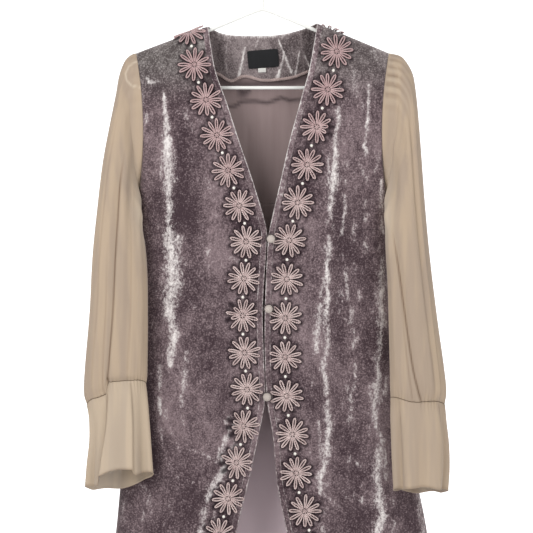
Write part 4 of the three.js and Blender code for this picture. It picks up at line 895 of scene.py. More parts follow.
# %% Places on a panel
# How far down a panel a place is: 0 at the shoulder, 1 under the arm and 2 at the hem. The rows are
# close together down to LAST_SHOWN, which is as far as the front view goes, and wider apart below it.
LAST_SHOWN = 1.54
# The folds fade in between these mm below the top edge, and out between these shares of the way across.
FOLD_TOP_FADE, FOLD_SIDE_FADE, ARMHOLE_WAIST = (6, 46), (0.93, 0.99), 0.6


def panel_levels(shoulder, shown, hidden):
    """How far down each row is, from the numbers of rows over the shoulder, down to LAST_SHOWN, and
    below it."""
    over = (1 - np.cos(np.linspace(0, np.pi, shoulder, endpoint=False))) / 2
    below = np.linspace(1, LAST_SHOWN, shown, endpoint=False)
    return np.concatenate([over, below, np.linspace(LAST_SHOWN, 2, hidden)])


def panel_z(top, down):
    """Height of a place, where top is the height of the panel's top edge above it."""
    return np.where(down < 1, mix(top, UNDERARM_Z, down), mix(UNDERARM_Z, HEM_Z, down - 1))


def panel_place(side, top_x, share, down, start):
    """x and z of a panel's point. Down to the underarm, a column runs between the top edge and the
    underarm line. Below, it keeps its share of the width. start(z) is where the share is 0."""
    z = panel_z(top_z(top_x), down)
    half = np.where(down < 1, armhole_x(np.clip(down, 0, 1)), section(side_column(side), z))
    return mix(start(z), side * half, share), z


def cloth_y(side, facing, x, z):
    """depth_at with the folds of the streaks, which fade towards the top edge and the sides."""
    panel = "back" if facing > 0 else side_name(side)
    half = np.where(z > UNDERARM_Z, armhole_x(ARMHOLE_WAIST), section(side_column(side), z))
    fade = ease(top_z(x) - z, *FOLD_TOP_FADE) * (1 - ease(np.abs(x) / half, *FOLD_SIDE_FADE))
    return depth_at(side, facing, x, z) + facing * relief_at(panel, x, z) * fade


def softened(y, down, reach=0.07, times=40):
    """The turn of the cloth under the arm made soft: each height is averaged with the rows above and
    below it, many times, only near the underarm line."""
    share = bell(down[1:-1] - 1, reach)[:, None]
    for _ in range(times):
        middle = (y[:-2] + 2 * y[1:-1] + y[2:]) / 4
        y[1:-1, 1:-1] = mix(y[1:-1], middle, share)[:, 1:-1]
    return y


# %% The two fronts
FRONT_LEVELS = panel_levels(70, 214, 56)
FRONT_SHARES = 1 - (1 - np.linspace(0, 1, 98)) ** 1.2
SHOULDER_WEAR, WEAR_FROM, WEAR_FULL = {LEFT: 0.9, RIGHT: 0.6}, -235, -150
# Along the shoulder seam the pile stands up pale: how much, and how many mm down.
SEAM_NAP, SEAM_NAP_REACH = 0.42, 3.4


def build_front(side):
    name = side_name(side)
    share, down = np.meshgrid(FRONT_SHARES, FRONT_LEVELS)
    top_x = side * mix(NECK_HALF_WIDTH, SHOULDER_HALF_WIDTH, share)
    x, z = panel_place(side, top_x, share, down, lambda z: front_edge(side, z))
    y = softened(cloth_y(side, -1, x, z), FRONT_LEVELS)
    y[0] = -SEAM_GAP / 2
    marks = {
        "nap": np.maximum(nap_sheen_at(name, x, z), SEAM_NAP * bell(top_z(x) - z, SEAM_NAP_REACH)),
        "tone": tone_at(name, x, z), "painted_shadow": 0 * x,
        "worn": SHOULDER_WEAR[side] * ease(z, WEAR_FROM, WEAR_FULL),
    }
    return make_sheet(
        f"velvet_front_{name}", np.stack([x, y, z], -1), (0, -1, 0.02), VELVET, node=f"front_{name}",
        slot="velvet", material=[VELVET_CLOTH, VELVET_INSIDE], marks=marks,
    )


FRONTS = {side: build_front(side) for side in (LEFT, RIGHT)}

# %% The back
BACK_LEVELS = panel_levels(104, 116, 56)
BACK_ACROSS = np.sin(np.linspace(-np.pi / 2, np.pi / 2, 132))
# On the inside of the back, painted shadows: a dark wave cast by the hanger bar, bands cast by the facing
# above it, and one shadow blot: strength, and the line's (x, z, half width).
INSIDE_SHADOWS = [
    (0.75, [(-52, -225, 2.6), (-42, -225, 3), (-32, -218, 3), (-12, -217, 3), (8, -220, 3),
            (28, -212, 3), (41, -216, 3), (58, -215, 2.6)]),
    (0.75, [(-80, -180, 9), (-48, -193, 9), (0, -191, 9), (48, -188, 9), (80, -176, 9)]),
    (0.8, [(-38, -196, 3), (-30, -204, 9), (-20, -201, 4)]),
    (0.6, [(-66, -190, 5), (66, -190, 5)]),
]


def build_back():
    across, down = np.meshgrid(BACK_ACROSS, BACK_LEVELS)
    top_x, share = across * SHOULDER_HALF_WIDTH, np.abs(across)
    halves = [panel_place(side, top_x, share, down, lambda z: 0.0) for side in (LEFT, RIGHT)]
    x, z = (np.where(across < 0, one, other) for one, other in zip(*halves))
    y = softened(np.where(across < 0, cloth_y(LEFT, 1, x, z), cloth_y(RIGHT, 1, x, z)), BACK_LEVELS)
    y[0] = np.where(np.abs(x[0]) > NECK_HALF_WIDTH - 1, SEAM_GAP / 2, y[0])
    # Painted shadows of the hanger bar and the facing on the inside.
    shadow_mark = np.zeros(x.shape)
    for strength, line in INSIDE_SHADOWS:
        shadow_mark = np.maximum(shadow_mark, strength * near_line(x, z, line))
    marks = {"nap": nap_sheen_at("back", x, z), "tone": tone_at("back", x, z), "painted_shadow": shadow_mark}
    return make_sheet(
        "velvet_back", np.stack([x, y, z], -1), (0, 1, 0.02), VELVET, node="back", slot="velvet",
        material=[VELVET_CLOTH, VELVET_INSIDE], marks=marks,
    )


BACK = build_back()

# %% [markdown]
# ## The turned front edges
# Each front edge is folded under and stitched nine millimetres in. The fold shows as a pale line, and the
# stitch line as a second thin pale line. It is a narrow strip whose cross section is a flat arch.

# %% Edge bands
BAND_WIDTH, BAND_THICKNESS, BAND_WALL, BAND_LIFT = 9, 1.0, 0.8, 0.15
# A pale line: its middle and half width in mm, and its strength on the front and in the neck.
EDGE_LINE, STITCH_LINE = (0.4, 1.1, 0.8, 1.15), (8.5, 0.7, 0.72, 0.35)
# The band is twisted in the neck: length of a turn, how a turn leans, its height, and how mottled it is.
TWIST_PITCH, TWIST_LEAN, TWIST_HEIGHT, BAND_MOTTLED = 10.5, 13, 0.28, {LEFT: 0.2, RIGHT: 1}


def build_edge_band(side):
    name = side_name(side)
    width, down = np.meshgrid(np.linspace(0, BAND_WIDTH, 13), panel_levels(90, 210, 50)[3:])
    z = panel_z(NECK_POINTS[side][0], down)
    slope = (front_edge(side, z - 2) - front_edge(side, z + 2)) / -4
    x = front_edge(side, z) + side * width * np.hypot(1, slope)
    z = np.minimum(z, top_z(x) - 0.5)
    turn = 2 * np.pi * (z / TWIST_PITCH + side * width / TWIST_LEAN)
    arch = 1 - np.abs(2 * width / BAND_WIDTH - 1) ** 4
    twist = TWIST_HEIGHT * np.sin(turn) * ease(z, -380, -300)
    height = SEAM_GAP + BAND_LIFT + (BAND_THICKNESS + twist) * arch + 0.25 * bell(width - 0.9, 0.9)
    in_neck = ease(z, -400, -340)
    nap = (0.24 + 0.3 * np.sin(turn + 1.5 * np.sin(z / 19))) * in_neck * BAND_MOTTLED[side]
    for middle, half, on_front, neck in (EDGE_LINE, STITCH_LINE):
        nap = np.maximum(nap, bell(width - middle, half) * mix(on_front, neck, in_neck))
    make_sheet(
        f"velvet_edge_{name}", np.stack([x, cloth_y(side, -1, x, z) - height, z], -1), (0, -1, 0), BAND_WALL,
        node=f"edge_band_{name}", slot="velvet", material=[VELVET_EDGE],
        marks={"nap": nap, "tone": np.full(x.shape, 0.1)},
    )


for side in (LEFT, RIGHT):
    build_edge_band(side)

# %% [markdown]
# ## Bust darts
# Each front has one short dart running in level from its armhole side. What shows is a sewn line with a
# soft lip, so it is a fine cord laid in the pile.

# %% Darts
DARTS = {LEFT: [(-171, -403), (-160, -404), (-140, -403.5)], RIGHT: [(181, -411), (160, -412), (124, -414)]}
DART_RADIUS, DART_SINK = 0.55, 0.1
for side, places in DARTS.items():
    corners = np.array(places, float)
    t = np.linspace(0, 1, 40)
    x, z = (np.interp(t, np.linspace(0, 1, len(corners)), corners[:, i]) for i in (0, 1))
    z = z + 0.4 * np.sin(t * 23)
    line = np.stack([x, cloth_y(side, -1, x, z) - DART_SINK, z], -1)
    points, faces = swept(line, DART_RADIUS * np.sin(np.pi * np.clip(t, 0.04, 0.96)) ** 0.4, sides=7)
    marks = {"nap": np.full(len(points), 0.2), "tone": np.full(len(points), -0.3)}
    make_piece(f"bust_dart_{side_name(side)}", points, faces, slot="velvet", material=[VELVET_EDGE],
               marks=marks, closed=True)

# %% [markdown]
# ## Sleeves
# A sheer sleeve starts on the armhole's oval and narrows to the wrist seam, where a flounce is gathered
# on. Each ring leans from an outer point to an inner one. The rings are read as smooth curves down the
# sleeve, and then the folds and gathers move the cloth in or out along its own normals.

# %% Sleeve measures
# outer x, outer z, inner x, inner z, y of the middle, half depth, how much lower the back hangs
SLEEVE_RINGS = {
    LEFT: np.array([
        (-201, -151, -188.9, -374, 2, 32.5, 0), (-209, -161, -188.9, -378, 0, 33, 0),
        (-216, -181, -188.7, -383, -5, 33, 0), (-221, -210, -188, -390, -12, 31, 0),
        (-230, -256, -185, -400, -21, 29, 0), (-240, -312, -180, -414, -31, 27, 0),
        (-248, -380, -175, -440, -40, 25, 4), (-255, -452, -172, -486, -46, 25, 6),
        (-259, -532, -171.5, -548, -51, 26, 9), (-266, -615, -172, -601, -55, 27, 16),
        (-267, -649, -172.5, -624, -56, 25, 25), (-262, -664, -174.5, -634, -56, 19, 30),
    ], float),
    RIGHT: np.array([
        (206, -149.5, 188.9, -374, 2, 32.5, 0), (215, -157, 188.9, -378, 0, 33, 0),
        (226, -177, 188.7, -383, -5, 33, 0), (231, -206, 188.4, -390, -12, 31, 0),
        (235, -250, 187, -400, -21, 29, 0), (239, -306, 184.5, -414, -31, 27, 0),
        (244, -376, 184.5, -442, -40, 25, 4), (251, -452, 187, -488, -46, 25, 6),
        (261, -536, 189, -552, -51, 26, 9), (272, -616, 190.5, -618, -55, 27, 12),
        (275, -650, 191, -646, -56, 25, 12), (272, -670, 192, -660, -56, 19, 12),
    ], float),
}
# The same columns for the flounce below the wrist seam, and how far its ruffles swing.
CUFF_RINGS = {
    LEFT: np.array([
        (-259, -686, -171.5, -660, -56, 21, 30, 1.2), (-258, -718, -169, -695, -57, 23, 30, 2.2),
        (-261, -752, -167, -731, -57, 24, 29, 3.2), (-263, -785, -165, -768, -58, 25, 28, 4.2),
    ], float),
    RIGHT: np.array([
        (275, -696, 191.5, -688, -56, 21, 11, 1.2), (278, -730, 193, -724, -57, 23, 10, 2.2),
        (278, -766, 195, -762, -57, 24, 9, 3.2), (275, -800, 197.5, -798, -58, 25, 8, 4.2),
    ], float),
}
SLEEVE_COLUMNS = 144
DROP_AXIS = 0.6
ANGLES = np.linspace(0, 2 * np.pi, SLEEVE_COLUMNS, endpoint=False)


# %% Rings
def leaning_ring(row):
    """A point of a ring at angle a: out = (1 + cos a) / 2 of the way from the inner to the outer point,
    and sin a of the half depth to the front. The back hangs lower by the drop."""
    outer_x, outer_z, inner_x, inner_z, middle_y, deep, drop = row[:7]
    out, front = (1 + np.cos(ANGLES)) / 2, np.sin(ANGLES)
    x, z = mix(inner_x, outer_x, out), mix(inner_z, outer_z, out) + drop / 2 * (front - DROP_AXIS)
    return np.stack([x, middle_y - deep * front, z], -1)


def armhole_ring(side):
    """The armhole's own oval, a seam's gap outside the velvet."""
    drop = (1 - np.cos(ANGLES)) / 2
    facing = np.where(np.sin(ANGLES) > 0, -1, 1)
    y = armhole_y(drop) * facing + SECTIONS[0, SECTION_SIDE] * ease(drop, ARMHOLE_FOOT, 1)
    return np.stack([side * (armhole_x(drop) + SEAM_GAP), y, mix(SHOULDER_TIP_Z, UNDERARM_Z, drop)], -1)


def through(rings, at):
    """Whole rings between the given ones: the cubic of along(), for every point of a ring at once."""
    last = len(rings) - 1
    low, high = np.maximum(np.arange(last + 1) - 1, 0), np.minimum(np.arange(last + 1) + 1, last)
    slope = (rings[high] - rings[low]) / (high - low)[:, None, None]
    i = np.clip(np.floor(at).astype(int), 0, last - 1)
    t = (at - i)[:, None, None]
    rise = ((1 - t) * slope[i] - t * slope[i + 1]) * t * (1 - t)
    return mix(rings[i], rings[i + 1], t * t * (3 - 2 * t)) + rise


def outward(points):
    """Normals of a tube, turned away from the middle of each ring."""
    normals = grid_normals(points, wraps=True)
    away = points - points.mean(axis=1, keepdims=True)
    turn = np.sign((normals * away).sum(axis=(1, 2)))
    return normals * turn[:, None, None]


# %% Folds of the chiffon
# A sharp fold: angle in degrees at its top and its foot, rows it runs between, width, depth and shade.
SHARP_FOLDS = {
    LEFT: [(84, 74, 4.2, 12, 16, 4.2, 0.85), (60, 66, 7.5, 12, 12, 2.0, 0.3),
           (118, 112, 3, 11, 18, 1.8, 0.22), (44, 40, 4, 11, 14, 1.4, 0.16)],
    RIGHT: [(134, 82, 6.2, 12, 13, 4.0, 0.85), (120, 100, 8, 12, 10, 1.8, 0.28),
            (60, 54, 3, 11, 20, 2.0, 0.22), (36, 34, 5, 11, 14, 1.4, 0.16)],
}
# A soft fold: angle at its top and foot, rows it runs between, width and height (out is +).
SOFT_FOLDS = {
    LEFT: [(40, 36, 1, 11, 9, 1.6), (100, 96, 0.5, 10, 9, 1.4), (140, 140, 2, 11, 10, 1.6),
           (70, 70, 0.2, 4, 6, 1.0), (210, 215, 1, 11, 12, 3), (265, 262, 1, 11, 12, 3),
           (315, 312, 1, 11, 12, 3)],
    RIGHT: [(44, 36, 0.6, 10, 8, 1.6), (74, 66, 1, 9, 8, 1.6), (104, 96, 0.6, 7, 9, 1.8),
            (150, 140, 4, 11, 9, 1.6), (205, 210, 1, 11, 12, 3), (255, 258, 1, 11, 12, 3),
            (310, 316, 1, 11, 12, 3)],
}


# A sharp fold falls off steeply on one side, over this many degrees, and its shade is this wide.
STEEP_SIDE, SHADE_WIDTH = 2.2, 1.7


def turned_by(angle):
    """Degrees from ANGLES to an angle, from -180 to 180."""
    return (np.degrees(ANGLES)[None] - np.atleast_1d(angle)[:, None] + 180) % 360 - 180


def eased_rows(at, start, end):
    """ease() down the rows of a tube, for all its columns."""
    return ease(at, start, end)[:, None]


def fold_moves(side, at):
    """How far every point of the sleeve moves out, in mm, and how dark its folds shade it."""
    move, shade = np.zeros((len(at), SLEEVE_COLUMNS)), np.zeros((len(at), SLEEVE_COLUMNS))
    for top, foot, start, end, wide, deep, dark in SHARP_FOLDS[side]:
        here = eased_rows(at, start - 0.5, start + 2) * (1 - 0.4 * eased_rows(at, end - 0.6, end))
        off = turned_by(mix(top, foot, np.clip((at - start) / (end - start), 0, 1)))
        move -= deep * np.where(off < 0, bell(off, wide), bell(off, STEEP_SIDE)) * here
        shade = np.maximum(shade, dark * bell(off - 0.8, SHADE_WIDTH) * here)
    for top, foot, start, end, wide, high in SOFT_FOLDS[side]:
        here = eased_rows(at, start, start + 1.5) * (1 - eased_rows(at, end - 1.5, end))
        off = turned_by(mix(top, foot, np.clip((at - start) / (end - start), 0, 1)))
        move += high * bell(off, wide) * here
    return move, shade


def gather_moves(at, seam, reach, count, high, spread=400, middle=0):
    """Fine gathers along a seam: a cosine of the angle, uneven in height, that dies away from the seam
    and to both sides of the middle angle."""
    wobble = 0.7 * np.sin(3 * ANGLES + 1) + 0.5 * np.sin(7 * ANGLES)
    uneven = 0.65 + 0.35 * np.sin(5 * ANGLES + 2)
    wave = np.cos(count * ANGLES + wobble) * uneven
    return high * bell(np.abs(at - seam), reach, 1)[:, None] * wave[None] * bell(turned_by(middle), spread)


# %% Build the sleeves and flounces
SLEEVE_AT = np.concatenate([np.linspace(0, 3, 40, endpoint=False), np.linspace(3, 12, 104)])
CUFF_AT = np.linspace(0, 4, 66)
WRIST_GATHERS = 46
# Where the flounce's front layer ends, the cloth steps back and hangs lower. For the outer and the inner
# end: angle at the seam and at the hem, how far back, how much lower, how wide, and towards which side.
CUFF_STEPS = {
    LEFT: [(72, 50, 5.5, 12, 44, LEFT), (118, 115, 3.0, 8, 48, RIGHT)],
    RIGHT: [(40, 30, 2.0, 0, 40, LEFT), (132, 130, 1.6, 2, 40, RIGHT)],
}
# At the left wrist the full sleeve hangs down over the seam in front of the flounce: angle, how much the
# seam rises on the front side and how far round, and how much it drops on the outer side and how far.
WRIST_STEP = {LEFT: (72, 7, 26, 10, 36), RIGHT: (98, -8, 38, 8, 38)}
# Under the arm the sleeve's loose cloth hangs in front of the coat's side: how far in and how far forward,
# and the angle of its middle and how far round it goes.
UNDERARM_LAP = {LEFT: (8, 7), RIGHT: (7, 7)}
LAP_ANGLE, LAP_SPREAD = 155, 28
# Gathers of the cap: how many would fit all round, height, angle of the middle one, how far round they
# go, and how dark they are.
CAP_GATHERS = {LEFT: (30, 0.9, 0, 60, 0.2), RIGHT: (37, 3.0, 38, 24, 1.0)}
# The hanger's rounded ends show through the caps as pale rings: (x, z), half width and strength.
RING_PLACES = ((178, -158), (192, -160), (201, -166), (206, -177), (204, -188), (196, -196), (182, -198))
RING_HALF_WIDTH, RING_STRENGTH = 1.5, {LEFT: 0.42, RIGHT: 0.12}
# Beside the coat the sleeve is paler: strength, angle and how far round.
BESIDE_LIT, BESIDE_ANGLE, BESIDE_SPREAD = 0.5, 162, 34
# The left flounce lies double, which makes it paler, and each step's inner layer is a little darker.
FLOUNCE_LIT, LAYER_SHADE = {LEFT: 0.2, RIGHT: 0.04}, {LEFT: 0.05, RIGHT: 0}


def sleeve_light(side, points, creases):
    """How pale each place of a sleeve is: the hanger's ring, the part beside the coat, and the gathers."""
    in_front = ease(np.sin(ANGLES), 0, 0.2)[None]
    ring = [(side * x, z, RING_HALF_WIDTH) for x, z in RING_PLACES]
    lit = RING_STRENGTH[side] * in_front * near_line(points[..., 0], points[..., 2], ring)
    beside = eased_rows(SLEEVE_AT, 0.1, 0.8) * (1 - eased_rows(SLEEVE_AT, 5.5, 8))
    lit = np.maximum(lit, BESIDE_LIT * bell(turned_by(BESIDE_ANGLE), BESIDE_SPREAD) * beside)
    return np.maximum(lit, 0.4 * creases)


def build_sleeve(side):
    """Smooth rings, then folds and gathers, then the lap under the arm and the step at the wrist."""
    name = side_name(side)
    rings = np.stack([armhole_ring(side), *(leaning_ring(row) for row in SLEEVE_RINGS[side])])
    points = through(rings, SLEEVE_AT)
    count, high, middle, spread, dark = CAP_GATHERS[side]
    cap = gather_moves(SLEEVE_AT, 0.4, 1.1, count, high, spread, middle) * eased_rows(SLEEVE_AT, 0, 0.3)
    creases = gather_moves(SLEEVE_AT, 0.6, 1.7, count, dark, spread, middle) * eased_rows(SLEEVE_AT, 0, 0.2)
    wrist = gather_moves(SLEEVE_AT, 12, 1.1, WRIST_GATHERS, 0.9)
    move, shade = fold_moves(side, SLEEVE_AT)
    move = move * eased_rows(SLEEVE_AT, 0, 1) + cap + wrist
    shade = shade + np.clip(-creases, 0, 0.75) + np.clip(-wrist / 5, 0, 0.25)
    points = points + outward(points) * move[..., None]
    in_share, forward = UNDERARM_LAP[side]
    near_body = eased_rows(SLEEVE_AT, 0.3, 2) * (1 - eased_rows(SLEEVE_AT, 4.5, 6.5))
    lap = bell(turned_by(LAP_ANGLE), LAP_SPREAD) * near_body
    points = points + np.stack([-side * in_share * lap, -forward * lap, 0 * lap], -1)
    angle, rise, rise_reach, drop, drop_reach = WRIST_STEP[side]
    off = turned_by(angle)
    step = mix(-drop * bell(off, drop_reach), rise * bell(off, rise_reach), ease(off, -1.6, 1.6))
    points[..., 2] += step * eased_rows(SLEEVE_AT, 9.6, 12)
    return points, make_sheet(
        f"chiffon_sleeve_{name}", points, outward(points), CHIFFON, wraps=True, node=f"sleeve_{name}",
        slot="chiffon", material=[CHIFFON_CLOTH],
        marks={"shade": shade, "lit": sleeve_light(side, points, creases)},
    )


def build_flounce(side, wrist):
    """Rings below the wrist seam, with ruffles, and with the steps between the flounce's layers."""
    name = side_name(side)
    rings = np.stack([wrist, *(leaning_ring(row) for row in CUFF_RINGS[side])])
    points = through(rings, CUFF_AT)
    wave = along(np.arange(5), np.concatenate([[0], CUFF_RINGS[side][:, 7]]), CUFF_AT)[:, None]
    ruffle = wave * (0.8 * np.cos(6 * ANGLES + 0.5) + 0.3 * np.sin(9 * ANGLES + 1.4))
    gathers = gather_moves(CUFF_AT, 0, 0.5, WRIST_GATHERS, 0.8)
    inward, lower, fold, behind = (np.zeros(ruffle.shape) for _ in range(4))
    for top, foot, deep, hang, reach, towards in CUFF_STEPS[side]:
        off = towards * turned_by(mix(top, foot, CUFF_AT / 4))
        step = ease(off, -1.5, 1.5) * bell(np.maximum(off, 0), reach) * eased_rows(CUFF_AT, 0, 1.6)
        line = bell(off, STEEP_SIDE) * eased_rows(CUFF_AT, 0, 0.3)
        inward, lower, behind = inward + deep * step, lower + hang * step, np.maximum(behind, step)
        fold = np.maximum(fold, np.minimum(0.16 * deep, 0.85) * line)
    hem = 0.14 * eased_rows(CUFF_AT, 3.86, 3.95)
    low_layer = 0.16 * ease(lower, 0, 6) * eased_rows(CUFF_AT, 2, 4)
    shade = np.maximum(fold, hem) + low_layer + LAYER_SHADE[side] * behind
    shade = shade + np.clip(-gathers / 5, 0, 0.2) + np.clip(-ruffle / 18, 0, 0.12)
    points = points + outward(points) * (ruffle + gathers - inward)[..., None]
    points[..., 2] += (1.6 * np.sin(5 * ANGLES + 0.8) - lower) * eased_rows(CUFF_AT, 1, 4)
    points[0] = wrist
    points[0, :, 2] -= SEAM_GAP
    return points, make_sheet(
        f"chiffon_flounce_{name}", points, outward(points), CHIFFON, wraps=True, node=f"flounce_{name}",
        slot="chiffon", material=[CHIFFON_CLOTH],
        marks={"shade": shade, "lit": np.full(shade.shape, FLOUNCE_LIT[side])},
    )


WRIST_THREAD_RADIUS, HEM_ROLL_RADIUS, HEM_SHADE = 0.55, 0.6, 0.12
SLEEVES, FLOUNCES = {}, {}
for side in (LEFT, RIGHT):
    sleeve_points, SLEEVES[side] = build_sleeve(side)
    wrist = sleeve_points[-1]
    flounce_points, FLOUNCES[side] = build_flounce(side, wrist.copy())
    points, faces = swept(wrist + [0, 0, -0.2], WRIST_THREAD_RADIUS, sides=6, closed=True)
    make_piece(f"wrist_seam_{side_name(side)}", points, faces, slot="chiffon", material=[DARK_THREAD],
               closed=True)
    points, faces = swept(flounce_points[-1], HEM_ROLL_RADIUS, sides=6, closed=True)
    make_piece(f"flounce_hem_{side_name(side)}", points, faces, slot="chiffon", material=[CHIFFON_CLOTH],
               marks={"shade": np.full(len(points), HEM_SHADE)}, closed=True)

# %% [markdown]
# ## Neck facing, label and size tab
# A velvet facing backs the neck edge on the inside. It is gathered a little, so ridges run down it, pale
# with their pile and painted sheen, and its lower edge is overlocked and hangs in a wave. The label and the
# tab are bare.

# %% Facing
FACING_HALF_WIDTH, FACING_GAP, FACING_THICKNESS, FACING_HEIGHT = 79, 0.8, 1.2, 62
FACING_COLUMNS, FACING_ROWS = 136, 56
# The lower edge: x, z.
FACING_EDGE = np.array([(-80, -172), (-66, -177), (-48, -187), (-28, -180), (0, -186), (22, -185),
                        (48, -181), (66, -174), (80, -170)], float)
# Ridges of the facing: strength, lift, and the line's (x, z, half width).
FACING_RIDGES = [
    (1.0, 2.4, [(-26, -137, 1.6), (-31, -160, 2.2), (-37, -184, 3.4)]),
    (0.9, 2.0, [(24, -126, 1.4), (34, -150, 2.0), (44, -175, 2.6)]),
    (1.0, 2.2, [(33, -144, 1.6), (28, -165, 2.0), (22, -185, 3.2)]),
    (0.85, 1.6, [(56, -142, 1.4), (53, -160, 1.8), (50, -178, 2.2)]),
    (0.85, 1.6, [(62, -144, 1.2), (66, -154, 1.6), (71, -164, 1.6)]),
    (0.45, 1.2, [(-52, -120, 1.5), (-56, -150, 2.4), (-54, -176, 2.0)]),
    (0.4, 0.6, [(-72, -118, 2.0), (-62, -124, 2.0), (-48, -128, 1.6)]),
    (0.4, 0.8, [(-8, -128, 1.6), (-10, -136, 1.6)]),
]
# The pile is flat under the label: its middle, and how far it goes.
UNDER_LABEL_X, UNDER_LABEL_Z, UNDER_LABEL_WIDE, UNDER_LABEL_HIGH = 1, -154, 27, 16
# The sewn top edge puckers in a band this many mm high, over a pale line.
PUCKER_BAND, EDGE_NAP_REACH = 4.2, 1.9
OVERLOCK_SWINGS, OVERLOCK_RADIUS = 62, 1.8


def facing_point(x, share, depth):
    """A place of the facing: share runs from the neck edge to the waved lower edge, and depth goes
    into the coat from the back's outer side."""
    low = along(FACING_EDGE[:, 0], FACING_EDGE[:, 1], x)
    z = mix(top_z(x) - 0.6, low, share)
    y = np.where(x < 0, depth_at(LEFT, 1, x, z), depth_at(RIGHT, 1, x, z))
    return np.stack([x, y - depth, z], -1)


def build_facing():
    """The facing's sheet, and the overlock as one thick thread that swings over its lower edge."""
    across = np.linspace(-FACING_HALF_WIDTH, FACING_HALF_WIDTH, FACING_COLUMNS)
    share, x = np.meshgrid(np.linspace(0, 1, FACING_ROWS), across, indexing="ij")
    points = facing_point(x, share, VELVET + FACING_GAP + FACING_THICKNESS)
    z = points[..., 2]
    ridge, lift = np.zeros(x.shape), np.zeros(x.shape)
    for strength, high, line in FACING_RIDGES:
        ridge = np.maximum(ridge, strength * near_line(x, z, line))
        lift = np.maximum(lift, high * near_line(x, z, widened(line, 1, 1.2)))
    below_edge = share * FACING_HEIGHT
    pucker = np.sin(x * 2.3 + 1.2 * np.sin(x * 0.4))
    top_band = bell(below_edge, PUCKER_BAND, 4)
    points[..., 1] -= lift * ease(share, 0.02, 0.25) + 0.35 * pucker * top_band
    hidden = bell(x - UNDER_LABEL_X, UNDER_LABEL_WIDE, 8) * bell(z - UNDER_LABEL_Z, UNDER_LABEL_HIGH, 8)
    ticks = 0.95 * (0.5 + 0.5 * pucker) * bell(below_edge, PUCKER_BAND)
    edge_nap = np.maximum(ticks, 0.85 * bell(below_edge, EDGE_NAP_REACH))
    marks = {
        "nap": np.maximum(1.15 * ridge * (1 - hidden), edge_nap),
        "tone": 0.1 + 0.1 * top_band - 0.12 * hidden, "worn": np.full(x.shape, 0.45),
    }
    t = np.linspace(0, 1, 420)
    low = np.stack([np.interp(t, np.linspace(0, 1, FACING_COLUMNS), points[-1, :, i]) for i in range(3)], -1)
    low[:, 2] += np.sin(t * 2 * np.pi * OVERLOCK_SWINGS)
    low[:, 1] += 0.6 * np.cos(t * 2 * np.pi * OVERLOCK_SWINGS)
    facing = make_sheet(
        "neck_facing", points, (0, -1, 0), FACING_THICKNESS * 0.9, node="back_neck_facing", slot="velvet",
        material=[VELVET_EDGE], marks=marks,
    )
    thread = swept(low, OVERLOCK_RADIUS, sides=7)
    make_piece("facing_overlock", *thread, slot="velvet", material=[PALE_THREAD], closed=True)
    return facing


FACING = build_facing()

# %% Label and tab
TAG_DEPTH = VELVET + FACING_GAP + FACING_THICKNESS + 0.6


def build_tag(name, node_name, material, middle_x, middle_z, wide, high, thick, corner, tilt):
    """A flat tag as a thin pad with rounded corners: a grid whose edge follows a superellipse, sewn on a
    little askew."""
    u, v = np.meshgrid(np.linspace(-1, 1, 41), np.linspace(-1, 1, 25))
    across = u * np.sqrt(1 - corner * v**8 / 2) * wide / 2
    up = v * np.sqrt(1 - corner * u**8 / 2) * high / 2
    turn = math.radians(tilt)
    x = middle_x + across * math.cos(turn) - up * math.sin(turn)
    z = middle_z + across * math.sin(turn) + up * math.cos(turn)
    flat = depth_at(RIGHT, 1, np.full(x.shape, float(middle_x)), z)
    pillow = 0.25 * (1 - np.maximum(np.abs(u), np.abs(v)) ** 6)
    y = flat - TAG_DEPTH - thick - pillow - 0.2 * np.sin(x * 0.19)
    return make_sheet(name, np.stack([x, y, z], -1), (0, -1, 0), thick * 0.8, node=node_name,
                      slot=node_name, material=[material])


LABEL = build_tag("neck_label", "label", LABEL_CLOTH, 1, -154, 46.5, 27, 0.8, 0.12, 4.5)
build_tag("size_tab_tape", "size_tab", TAB_CLOTH, -0.8, -171, 12, 6.6, 0.6, 0.16, 2)

# %% [markdown]
# ## Flower trim
# The trim is a chain of twelve-petal flowers joined by pearl beads. A petal is a loop of thick pale cord
# round a thin dark one, whose colour is painted shade for the slit down its middle. Every flower is drawn
# once in its own flat measures, along the chain and across it, and then laid on the cloth below it.

# %% Where the flowers sit
# The first flower on a front and the pitch, and the left chain's extra flower astride the shoulder.
TRIM = {LEFT: (-164.5, 55.5), RIGHT: (-145, 58.4)}
ASTRIDE_Z = {LEFT: -119.5}
TANGENT_REACH, HEM_CLEARANCE = 20, 29
TRIM_INSET = np.array([
    (-118, 30, 36), (-210, 29.5, 36), (-345, 32, 34), (-432, 31, 32), (-545, 30, 31),
    (-655, 27, 30), (-760, 24.5, 30), (-850, 24.5, 34), (HEM_Z, 26, 34),
], float)
NECK_FLOWERS = np.array([(99, 23), (50, 31), (-5, 31), (-59, 31)], float)
PETALS, PETAL_ROOT, PETAL_REACH, PETAL_HALF_WIDTH = 12, 4.4, 24.0, 2.05
RIM_RADIUS, CORE_RADIUS = 1.05, 0.45
TRIM_SEAT, SHOULDER_TRIM_SEAT = 1.5, 2.1
# Petals that are curled back on some flowers: side and flower, then the petals.
CURLED = {
    (LEFT, 8): (7, 9), (LEFT, 11): (8, 9, 10), (LEFT, 12): (9, 10), (RIGHT, 2): (2, 3), (RIGHT, 13): (8,),
}
# In the middle of a flower, six seed pearls stand round a larger knot. A larger pearl joins two flowers.
KNOT_RADIUS, SEED_RADIUS, SEEDS, SEED_REACH, SEED_SEAT = 1.7, 1.2, 6, 2.5, 1.4
# TRIM_SHADOW_HALF_WIDTH is how far the painted shadow round a petal reaches.
PEARL_RADIUS, PEARL_SEAT, TRIM_SHADOW_HALF_WIDTH = 2.35, 2.0, 4.6


